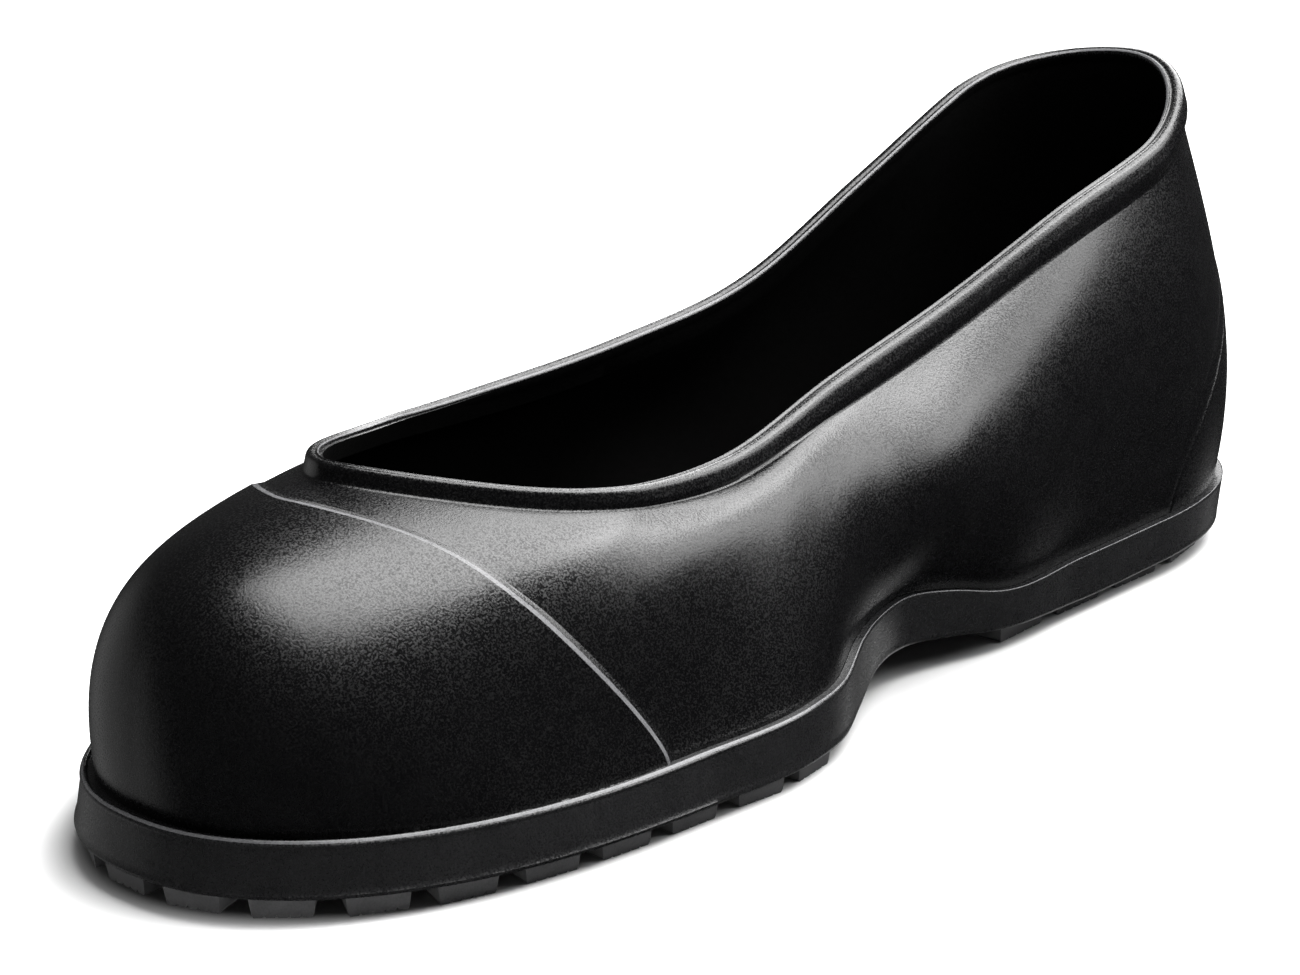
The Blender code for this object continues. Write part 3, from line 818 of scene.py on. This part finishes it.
@dataclass
class ToeCap(RaisedPatch):
    """Cap over the toe: a crisp rear edge, then a slope that runs out in a soft hollow on the vamp."""

    proud: float = 0.0010
    rear_share: float = 0.720
    crown: float = 0.900
    sweep: float = 2.45
    bow: float = 0.727
    edge_round: float = 0.0004
    edge_drop: float = 0.00010
    run_out: float = 0.0021
    run_out_power: float = 1.2
    run_out_rows: int = 13
    feather: float = 0.00008
    crown_share: float = 0.45
    crown_spread: float = 1.6
    # Rows along the cap's rear edge painted lighter grey: a painted highlight on the edge
    painted_highlight_rows: tuple[int, int] = (1, 8)
    samples: int = 600

    def seam(self) -> tuple[np.ndarray, np.ndarray]:
        """Line of the cap's rear edge, from the band on the inner side over the vamp to the outer side."""
        aside = np.sin(np.linspace(math.pi / 2, -math.pi / 2, self.samples))
        turn = 1 - aside * (1 - turn_of_share(self.rear_share))
        level = self.crown * (1 - np.abs(aside) ** self.sweep) ** self.bow
        return self.grounded(turn, level)

    def step_share(self, turn: np.ndarray) -> np.ndarray:
        """Share of the cap's full height: lowest over the crown."""
        aside = np.abs(1 - turn) / (1 - turn_of_share(self.rear_share))
        return self.crown_share + (1 - self.crown_share) * np.clip(aside * self.crown_spread, 0, 1)

    def profile(self) -> np.ndarray:
        """Rows across the edge: flat cap, crisp corner, slope, hollow run-out."""
        corner = np.array([[-1.0, 0.0], [-0.4, -0.06], [0.0, -0.35], [0.35, -1.0]])
        rows = corner * (self.edge_round, self.edge_drop) + (0, self.proud)
        start, height = rows[-1]
        part = np.linspace(0, 1, self.run_out_rows + 1)[1:, None]
        slope = self.feather + (height - self.feather) * (1 - part) ** self.run_out_power
        return np.concatenate([rows, np.concatenate([start + (self.run_out - start) * part, slope], axis=1)])

    def build(self) -> bpy.types.Object:
        """Makes the cap's piece."""
        # The rows along the rear edge take the lighter grey of a painted highlight line
        first, last = ((self.rows + row) * (self.columns - 1) for row in self.painted_highlight_rows)
        return show_piece("toe_cap_shell", *closed_wall(*self.skins(), loop=False), self.finish, "toe_cap",
                          painted_highlight=range(first, last))


@dataclass
class HeelCounter(RaisedPatch):
    """Thin pointed patch over the back of the heel, with a fine line moulded along its seam."""

    columns: int = 240
    rows: int = 40
    proud: float = 0.0004
    front_share: float = 0.146
    peak: float = 0.75
    bow: float = 0.60
    samples: int = 400

    def seam(self) -> tuple[np.ndarray, np.ndarray]:
        """Line of the counter's edge, up from the outer side to its peak and down to the inner side."""
        aside = np.linspace(-1, 1, self.samples)
        turn = aside * turn_of_share(self.front_share)
        level = self.peak * (1 - np.abs(aside)) ** self.bow
        return self.grounded(turn, level)

    def profile(self) -> np.ndarray:
        """Rows across the edge: flat patch, fine groove along the seam, thin run-out on the quarters."""
        patch = [(-1.30, 1.0), (-0.60, 1.0), (-0.40, 0.80)]
        groove = [(-0.20, 0.22), (0.0, 0.05), (0.20, 0.22)]
        run_out = [(0.40, 0.75), (0.60, 0.90), (1.8, 0.70), (3.2, 0.30), (4.6, 0.05)]
        return np.array(patch + groove + run_out) * (MM, self.proud)

    def build(self) -> bpy.types.Object:
        """Makes the counter's piece."""
        return show_piece("heel_counter_patch", *closed_wall(*self.skins(), loop=False), self.finish,
                          "heel_counter")


@dataclass
class CollarBead:
    """Rolled edge of the collar: a round roll outside, a fine groove and a thin lip inside."""

    form: LastForm
    finish: RubberFinish
    side_columns: int = 220
    inside_rows: int = 4
    # Rows over the lip painted lighter grey: a painted highlight along it
    lip_rows: tuple[int, int] = (20, 22)
    sharp_deg: float = 70.0

    def section(self) -> np.ndarray:
        """Section of the roll as distances out of the riser and up from its top edge, in millimetres.

        Returns:
            Corners, from the foot of its outer face over the round to the lip, and back inside the wall.
        """
        face = [(1.85, -4.75), (1.80, -4.0), (1.78, -3.0), (1.74, -2.1)]
        top = [(1.66, -1.5), (1.46, -0.95), (1.12, -0.50), (0.66, -0.18), (0.15, -0.02), (-0.30, -0.06)]
        groove = [(-0.62, -0.24), (-0.90, -0.36), (-1.18, -0.34), (-1.36, -0.14)]
        lip = [(-1.46, 0.06), (-1.58, 0.16), (-1.72, 0.18), (-1.95, 0.04), (-2.15, -0.12), (-2.34, -0.28),
               (-2.44, -0.52), (-2.46, -0.95), (-2.36, -2.40)]
        back = [(-1.2, -4.2), (-0.8, -5.6)]
        return np.array(face + top + groove + lip + back) * MM

    def fillet(self) -> np.ndarray:
        """Run-out below the roll as distances from the base down the upper and heights above it, in mm."""
        return np.array([(2.60, -0.50), (3.20, 0.02), (2.50, 0.15), (2.05, 0.45)]) * MM

    def build(self) -> bpy.types.Object:
        """Sweeps the section once round the collar.

        Returns:
            The bead.
        """
        turn = self.form.stations(self.side_columns)
        size = self.form.riser_size(turn)
        across, up = self.form.riser(turn)
        reach = self.form.reach(turn)
        # At its top a rib runs three lengths of its handle for each whole level
        rows = [self.form.surface(turn, 1 - down * size / (3 * reach), height * size)
                for down, height in self.fillet()]
        rows += [self.form.collar(turn) + (across * out + up * rise) * size[:, None]
                 for out, rise in self.section()]
        # The rows inside the wall take the painted shade of the hollow
        inside = range((len(rows) - self.inside_rows) * len(turn), len(rows) * len(turn))
        # The lip's rows take a painted highlight: a lighter grey line
        painted_highlight = range(*(row * len(turn) for row in self.lip_rows))
        return show_piece("collar_roll", *closed_roll(np.array(rows)), self.finish, "collar_bead",
                          self.sharp_deg, inside=inside, painted_highlight=painted_highlight)


@dataclass
class Outsole:
    """Cup sole: footbed, thin welt rib between two grooves, plain band that flares, bevelled lower edge."""

    form: LastForm
    finish: RubberFinish
    side_columns: int = 240
    clearance: float = 0.0003
    edge_bevel: float = 0.0010
    ledge: float = 0.0004
    ledge_height: float = 0.0015
    heel_rib: float = 0.20
    # Rows over the rib's top painted lighter grey: a painted highlight along the rib
    rib_rows: tuple[int, int] = (6, 8)
    face_parts: tuple[float, ...] = (0.06, 0.2, 0.45, 0.7, 0.9, 1.0)
    bevel_parts: tuple[float, ...] = (0.3, 0.65, 1.0)
    sharp_deg: float = 50.0

    def rib_section(self) -> np.ndarray:
        """Section of ledge and rib as distances out of the outline and up from the lip, in millimetres."""
        ledge = [(-1.45, -0.60)]
        rib = [(-1.32, -0.30), (-1.14, -0.02), (-0.94, 0.10), (-0.74, 0.06), (-0.50, -0.15), (-0.26, -0.39),
               (-0.02, -0.63), (0.10, -0.82), (0.08, -1.02)]
        groove = [(-0.08, -1.20), (-0.10, -1.36), (-0.02, -1.56)]
        return np.array(ledge + rib + groove) * MM

    def build(self) -> bpy.types.Object:
        """Draws the rings from the footbed over the band to the underside.

        Returns:
            The sole without its lugs.
        """
        turn = self.form.stations(self.side_columns)
        outline, outward = self.form.outline(turn), self.form.outward(turn)
        lip, under, flare = self.form.lip(turn), self.form.under(turn), self.form.flare(turn)
        seat = self.form.foot(turn) + outward * self.clearance

        def ring(offset: np.ndarray | float, height: np.ndarray) -> np.ndarray:
            """Ring at an offset from the outline."""
            return raised(outline + outward * np.broadcast_to(offset, turn.shape)[:, None], height)

        size = self.heel_rib + (1 - self.heel_rib) * self.form.forefoot(turn)
        section = self.rib_section()[:, :, None] * size
        rings = [raised(seat, under + self.form.sole_thickness), raised(seat, lip + section[0, 1])]
        rings += [ring(out, lip + up) for out, up in section]
        face_out, face_top = section[-1, 0], lip + section[-1, 1]
        foot = flare - self.ledge * self.form.forefoot(turn)
        face_foot = under + self.ledge_height
        for part in self.face_parts:
            rings.append(ring(face_out + (foot - face_out) * part, face_top + (face_foot - face_top) * part))
        rings.append(ring(flare, under + self.edge_bevel))
        for part in self.bevel_parts:
            angle = part * math.pi / 2
            rings.append(ring(flare - self.edge_bevel * (1 - math.cos(angle)),
                              under + self.edge_bevel * (1 - math.sin(angle))))
        # The footbed's strips take the painted shade of the hollow
        skin_faces = (len(rings) - 1) * len(turn)
        # The rib's top rows take a painted highlight: a lighter grey line
        return show_piece("sole_band", *closed_bowl(np.array(rings)), self.finish, "outsole", self.sharp_deg,
                          inside=range(skin_faces, skin_faces + len(turn), 2),
                          painted_highlight=range(*(row * len(turn) for row in self.rib_rows)))


class LugShape(IntEnum):
    """Kinds of lug, numbered as the tree picks them: at the edge, and slanted blocks of either side."""

    EDGE = 0
    INNER_BLOCK = 1
    OUTER_BLOCK = 2


class LugPlace(NamedTuple):
    """Where one lug stands: middle of its outer end, heading, width, depth and kind."""

    x: float
    y: float
    z: float
    heading: float
    width: float
    depth: float
    shape: LugShape


# Facts of a lug that its point carries
LUG_FACTS = (("heading", "FLOAT"), ("width", "FLOAT"), ("depth", "FLOAT"), ("shape", "INT"))


@dataclass
class TreadLugs:
    """Tread under the sole: serrated blocks round the edge and slanted blocks between them."""

    form: LastForm
    finish: RubberFinish
    drop: float = 0.0040
    root: float = 0.0010
    draft: float = 0.0006
    toe_pitch: float = 0.0172
    heel_pitch: float = 0.0216
    gap: float = 0.0050
    depth: float = 0.0140
    toe_inset: float = 0.0016
    heel_inset: float = 0.0040
    toe_start: float = 0.575
    heel_end: float = 0.342
    block: float = 0.0130
    slant: float = 0.0050
    middle_gap: float = 0.0050
    middle_toe: tuple[float, float] = (0.56, 0.87)
    middle_heel: tuple[float, float] = (0.09, 0.30)
    teeth: int = 5
    tooth_depth: float = 0.12
    tooth_nick: float = 0.14
    taper: float = 0.05
    samples: int = 800

    def edge_places(self, start: float, end: float, pitch: float, inset: float) -> list[LugPlace]:
        """Spaces lugs evenly along a stretch of the sole's edge.

        Args:
            start: Turn where the stretch begins.
            end: Turn where it ends.
            pitch: Wanted distance from lug to lug.
            inset: Distance of the lugs inside the band's lower edge.

        Returns:
            Places of the lugs.
        """
        turn = np.linspace(start, end, self.samples)
        outward = self.form.outward(turn)
        edge = self.form.outline(turn) + outward * (self.form.flare(turn) - inset)[:, None]
        walked = np.concatenate([[0], np.cumsum(np.linalg.norm(np.diff(edge, axis=0), axis=1))])
        count = round((walked[-1] + self.gap) / pitch)
        step = (walked[-1] + self.gap) / count
        places = []
        for k in range(count):
            at = np.interp((k + 0.5) * step - self.gap / 2, walked, turn)
            near = np.argmin(np.abs(turn - at))
            inward = -outward[near]
            ground = max(0.0, float(self.form.under(np.array(at))) - self.drop)
            places.append(LugPlace(*edge[near], ground, math.atan2(-inward[0], inward[1]),
                                   step - self.gap, self.depth, LugShape.EDGE))
        return places

    def middle_places(self, stretch: tuple[float, float], pitch: float, inset: float) -> list[LugPlace]:
        """Spaces pairs of slanted blocks between the edge lugs.

        Args:
            stretch: Shares of the length that the rows keep within.
            pitch: Distance from row to row.
            inset: Distance of the edge lugs inside the band's lower edge.

        Returns:
            Places of the blocks.
        """
        margin, length = inset + self.depth + self.gap, self.form.length
        places = []
        for along_shoe in np.arange(stretch[0], stretch[1] - self.block / length, pitch / length):
            share = along_shoe + self.block / 2 / length
            turn = turn_of_share(share)
            inner, outer = self.form.outline(np.array([turn, 2 - turn]))
            ground = max(0.0, float(self.form.under(np.array(turn))) - self.drop)
            middle = (inner[1] + outer[1]) / 2
            for shape, heading, near, far in (
                    (LugShape.INNER_BLOCK, 0.0, middle + self.middle_gap / 2, inner[1] - margin),
                    (LugShape.OUTER_BLOCK, math.pi, middle - self.middle_gap / 2, outer[1] + margin)):
                places.append(LugPlace(inner[0], near, ground, heading, self.block, abs(far - near), shape))
        return places

    def block_mesh(self, shape: LugShape) -> bpy.types.Mesh:
        """Draws one lug in a box of size one: x across, y inwards from its outer end, z up from the ground.

        Args:
            shape: Kind of lug.

        Returns:
            A grooved block, narrower at the ground.
        """
        slant = {LugShape.EDGE: 0.0, LugShape.INNER_BLOCK: 1.0, LugShape.OUTER_BLOCK: -1.0}[shape]
        slant *= self.slant / self.block
        taper = self.taper if shape is LugShape.EDGE else 0.0
        section = [(-0.5, 1.0)]
        foot = 0.5 - self.draft / self.block
        for k in range(self.teeth):
            left, right = (foot * (2 * (k + side) / self.teeth - 1) for side in (0.0, 1.0))
            nick = self.tooth_nick * (right - left)
            section += [(left, self.tooth_depth), (left + nick, 0.0), (right - nick, 0.0)]
        section += [(foot, self.tooth_depth), (0.5, 1.0)]
        front = [(x, self.draft / self.depth * (1 - z), z) for x, z in section]
        back = [(x * (1 - taper) + slant, 1 - self.draft / self.depth * (1 - z), z) for x, z in section]
        count = len(section)
        faces = [tuple(range(count)), tuple(range(2 * count - 1, count - 1, -1))]
        faces += [((k + 1) % count, k, count + k, count + (k + 1) % count) for k in range(count)]
        mesh = bpy.data.meshes.new(f"lug_{shape.value}")
        mesh.from_pydata(front + back, [], faces)
        return mesh

    def tree(self) -> bpy.types.NodeTree:
        """Builds the tree that sets a lug on every point and turns it to its heading.

        Returns:
            Tree with inputs for the lug shapes, the lugs' height and their rubber.
        """
        tree = bpy.data.node_groups.new("lugs_on_points", "GeometryNodeTree")
        for name, kind in (("Points", "Geometry"), ("Lug Shapes", "Collection"), ("Lug Height", "Float"),
                           ("Rubber", "Material")):
            tree.interface.new_socket(name, in_out="INPUT", socket_type=f"NodeSocket{kind}")
        tree.interface.new_socket("Lugs", in_out="OUTPUT", socket_type="NodeSocketGeometry")
        given = add_node(tree, "NodeGroupInput")
        shapes = add_node(tree, "GeometryNodeCollectionInfo", inputs={
            "Collection": given.outputs["Lug Shapes"], "Separate Children": True, "Reset Children": True})
        facts = {name: add_node(tree, "GeometryNodeInputNamedAttribute", {"data_type": kind}, {"Name": name})
                 for name, kind in LUG_FACTS}
        facing = add_node(tree, "ShaderNodeCombineXYZ", inputs={"Z": facts["heading"].outputs["Attribute"]})
        size = add_node(tree, "ShaderNodeCombineXYZ", inputs={
            "X": facts["width"].outputs["Attribute"], "Y": facts["depth"].outputs["Attribute"],
            "Z": given.outputs["Lug Height"]})
        placed = add_node(tree, "GeometryNodeInstanceOnPoints", inputs={
            "Points": given.outputs["Points"], "Instance": shapes.outputs["Instances"], "Pick Instance": True,
            "Instance Index": facts["shape"].outputs["Attribute"], "Rotation": facing.outputs["Vector"],
            "Scale": size.outputs["Vector"]})
        real = add_node(tree, "GeometryNodeRealizeInstances", inputs={
            "Geometry": placed.outputs["Instances"]})
        dressed = add_node(tree, "GeometryNodeSetMaterial", inputs={
            "Geometry": real.outputs["Geometry"], "Material": given.outputs["Rubber"]})
        add_node(tree, "NodeGroupOutput", inputs={"Lugs": dressed.outputs["Geometry"]})
        return tree

    def points(self) -> bpy.types.Object:
        """Makes the points that the lugs stand on.

        Returns:
            Object with a vertex for each lug and its facts as attributes.
        """
        toe, heel = turn_of_share(self.toe_start), turn_of_share(self.heel_end)
        places = self.edge_places(toe, 2 - toe, self.toe_pitch, self.toe_inset)
        places += self.edge_places(-heel, heel, self.heel_pitch, self.heel_inset)
        places += self.middle_places(self.middle_toe, self.toe_pitch, self.toe_inset)
        places += self.middle_places(self.middle_heel, self.heel_pitch, self.heel_inset)
        mesh = bpy.data.meshes.new("tread_lugs")
        mesh.from_pydata([place[:3] for place in places], [], [])
        for name, kind in LUG_FACTS:
            layer = mesh.attributes.new(name, kind, "POINT")
            layer.data.foreach_set("value", [getattr(place, name) for place in places])
        lugs = bpy.data.objects.new("tread_lugs", mesh)
        bpy.context.scene.collection.objects.link(lugs)
        return lugs

    def build(self) -> bpy.types.Object:
        """Runs the tree and keeps its result as a plain mesh.

        Returns:
            All lugs as one piece.
        """
        shapes = bpy.data.collections.new("lug_shapes")
        for shape in LugShape:
            mesh = self.block_mesh(shape)
            shapes.objects.link(bpy.data.objects.new(mesh.name, mesh))
        lugs, tree = self.points(), self.tree()
        values = {"Lug Shapes": shapes, "Lug Height": self.drop + self.root, "Rubber": self.finish.material()}
        modifier = lugs.modifiers.new("lugs", "NODES")
        modifier.node_group = tree
        for socket in tree.interface.items_tree:
            if socket.name in values:
                modifier[socket.identifier] = values[socket.name]
        real = lugs.evaluated_get(bpy.context.evaluated_depsgraph_get())
        lugs.data = bpy.data.meshes.new_from_object(real)
        lugs.modifiers.clear()
        for helper in list(shapes.objects):
            bpy.data.objects.remove(helper)
        bpy.data.collections.remove(shapes)
        return settle(lugs, "outsole")


@dataclass(frozen=True)
class Softbox:
    """Flat studio light: its place, the point that it faces, its size and power."""

    name: str
    place: tuple[float, float, float]
    aim: tuple[float, float, float]
    width: float
    height: float
    watts: float


@dataclass(frozen=True)
class WallGlow:
    """Lit patch of the room: where its middle lies, the angles at which it is full and out, its light."""

    azimuth_deg: float
    elevation_deg: float
    full_deg: float
    out_deg: float
    light: float


def direction(azimuth_deg: float, elevation_deg: float) -> Vector:
    """Unit vector towards a place given by azimuth and elevation."""
    azimuth, elevation = math.radians(azimuth_deg), math.radians(elevation_deg)
    level = math.cos(elevation)
    return Vector((math.sin(azimuth) * level, -math.cos(azimuth) * level, math.sin(elevation)))


@dataclass
class Studio:
    """White floor, softboxes in a dim room, and the camera."""

    form: LastForm
    azimuth_deg: float = 135.80
    elevation_deg: float = 17.63
    roll_deg: float = -1.494
    distance: float = 0.7491
    target: tuple[float, float, float] = (-0.0043, -0.0233, 0.0344)
    lens_mm: float = 95.05
    sensor_mm: float = 36.0
    floor_size: float = 8.0
    ceiling_light: float = 0.07
    glows: tuple[WallGlow, ...] = (
        WallGlow(18.0, -12.0, 14.0, 41.0, 0.28),
        WallGlow(281.0, -34.0, 6.0, 15.0, 1.0),
    )
    glow_from: float = 0.98
    glow_to: float = 1.10
    softboxes: tuple[Softbox, ...] = (
        Softbox("overhead_softbox", (-0.281, 0.199, 0.747), (-0.281, 0.199, 0.0), 0.94, 0.52, 13.4),
        Softbox("heel_side_softbox", (-0.405, 0.340, 0.459), (0.0, 0.0, 0.0), 0.32, 0.49, 3.2),
        Softbox("rear_softbox", (-0.92, -0.42, 0.59), (0.0, 0.0, 0.05), 0.90, 0.42, 9.5),
        Softbox("vamp_softbox", (-0.50, -0.13, 0.747), (-0.50, -0.13, 0.0), 0.50, 0.14, 2.0),
    )

    def add_camera(self) -> None:
        """Sets the camera at the viewing angle of the photograph."""
        back = direction(self.azimuth_deg, self.elevation_deg)
        right = Vector((0, 0, 1)).cross(back).normalized()
        up = back.cross(right)
        roll = math.radians(self.roll_deg)
        across = right * math.cos(roll) + up * math.sin(roll)
        upright = up * math.cos(roll) - right * math.sin(roll)
        place = Vector(self.target) + Vector((*self.form.place, 0.0)) + back * self.distance
        lens = bpy.data.cameras.new("camera")
        lens.lens, lens.sensor_width = self.lens_mm, self.sensor_mm
        lens.clip_start, lens.clip_end = 0.01, 50.0
        camera = bpy.data.objects.new("camera", lens)
        facing = Matrix((across, upright, back)).transposed().to_4x4()
        camera.matrix_world = Matrix.Translation(place) @ facing
        bpy.context.scene.collection.objects.link(camera)
        bpy.context.scene.camera = camera

    def add_lights(self) -> None:
        """Hangs the softboxes and sets the dim room behind them."""
        for box in self.softboxes:
            light = bpy.data.lights.new(box.name, "AREA")
            light.shape = "RECTANGLE"
            light.size, light.size_y, light.energy = box.width, box.height, box.watts
            lamp = bpy.data.objects.new(box.name, light)
            lamp.location = box.place
            lamp.rotation_euler = (Vector(box.place) - Vector(box.aim)).to_track_quat("Z", "Y").to_euler()
            bpy.context.scene.collection.objects.link(lamp)
        world = bpy.data.worlds.new("studio_room")
        world.use_nodes = True
        tree = world.node_tree
        # Dim room: grey towards the ceiling, black below the floor, two lit patches that the gloss mirrors
        place = add_node(tree, "ShaderNodeTexCoord").outputs["Generated"]
        height = add_node(tree, "ShaderNodeSeparateXYZ", inputs={"Vector": place}).outputs["Z"]
        ceiling = add_node(tree, "ShaderNodeMapRange", inputs={
            "Value": height, "From Min": -1.0, "From Max": 1.0, "To Min": 0.0, "To Max": self.ceiling_light})
        light = ceiling.outputs["Result"]
        for glow in self.glows:
            towards = add_node(tree, "ShaderNodeVectorMath", {"operation": "DOT_PRODUCT"}, {
                0: place, 1: direction(glow.azimuth_deg, glow.elevation_deg)})
            patch = add_node(tree, "ShaderNodeMapRange", {"interpolation_type": "SMOOTHSTEP"}, {
                "Value": towards.outputs["Value"], "From Min": math.cos(math.radians(glow.out_deg)),
                "From Max": math.cos(math.radians(glow.full_deg)), "To Max": glow.light})
            light = add_node(tree, "ShaderNodeMath", {"operation": "ADD"}, {
                0: light, 1: patch.outputs["Result"]}).outputs["Value"]
        background = tree.nodes["Background"]
        background.inputs["Color"].default_value = linear("#ffffff")
        tree.links.new(light, background.inputs["Strength"])
        bpy.context.scene.world = world
        bpy.context.scene.view_settings.view_transform = "Standard"

    def add_floor(self) -> None:
        """Lays a matt white floor that doesn't mirror in the rubber."""
        half = self.floor_size / 2
        mesh = bpy.data.meshes.new("floor")
        corners = [(-half, -half, 0), (half, -half, 0), (half, half, 0), (-half, half, 0)]
        mesh.from_pydata(corners, [], [(0, 1, 2, 3)])
        # Matt white paper: even, without gloss, washed out by light away from the shoe
        paper = bpy.data.materials.new("matt_white_paper")
        paper.use_nodes = True
        tree = paper.node_tree
        shader = tree.nodes["Principled BSDF"]
        # Oval as long as the shoe and half as wide as long: inside it the floor keeps its soft shadow
        place = add_node(tree, "ShaderNodeTexCoord").outputs["Object"]
        oval = add_node(tree, "ShaderNodeVectorMath", {"operation": "MULTIPLY"}, {
            0: place, 1: (2 / self.form.length, 4 / self.form.length, 0.0)})
        apart = add_node(tree, "ShaderNodeVectorMath", {"operation": "LENGTH"}, {0: oval.outputs["Vector"]})
        glow = add_node(tree, "ShaderNodeMapRange", {"interpolation_type": "SMOOTHSTEP"}, {
            "Value": apart.outputs["Value"], "From Min": self.glow_from, "From Max": self.glow_to})
        shader.inputs["Base Color"].default_value = linear("#dcdcdc")
        shader.inputs["Roughness"].default_value = 0.9
        shader.inputs["Specular IOR Level"].default_value = 0.0
        shader.inputs["Emission Color"].default_value = linear("#ffffff")
        tree.links.new(glow.outputs["Result"], shader.inputs["Emission Strength"])
        mesh.materials.append(paper)
        floor = bpy.data.objects.new("floor", mesh)
        floor.visible_glossy = False
        bpy.context.scene.collection.objects.link(floor)


def main() -> None:
    """Builds every piece in order, then the studio."""
    logging.basicConfig(level=logging.INFO, format="%(name)s %(message)s")
    form = LastForm().seated()
    # Moulded rubber of upper, cap and counter: deep black satin that breaks highlights into specks
    upper_rubber = RubberFinish("moulded_upper_rubber", "upper_rubber")
    cap_rubber = replace(upper_rubber, name="moulded_cap_rubber", slot="toe_cap_rubber")
    counter_rubber = replace(upper_rubber, name="moulded_counter_rubber", slot="heel_counter_rubber")
    # Rolled rubber of the collar: the same skin, whose round draws a thin highlight and whose lip carries a
    # painted highlight line
    bead_rubber = replace(upper_rubber, name="rolled_collar_rubber", slot="collar_bead_rubber")
    # Sole rubber: a greyer and duller black that sets the band off from the upper
    sole_rubber = replace(upper_rubber, name="matt_sole_rubber", slot="outsole_rubber", colour="#121213",
                          bloom="#1c1c1d", roughness=0.31)
    # Tread rubber: dull and grey with dust, so the lugs stand out from their shadow
    lug_rubber = replace(sole_rubber, name="dusty_tread_rubber", colour="#2c2c2d", bloom="#525253",
                         roughness=0.60)
    Upper(form, upper_rubber).build()
    ToeCap(form, cap_rubber).build()
    HeelCounter(form, counter_rubber).build()
    CollarBead(form, bead_rubber).build()
    Outsole(form, sole_rubber).build()
    TreadLugs(form, lug_rubber).build()
    studio = Studio(form)
    studio.add_camera()
    studio.add_lights()
    studio.add_floor()


if __name__ == "__main__":
    main()
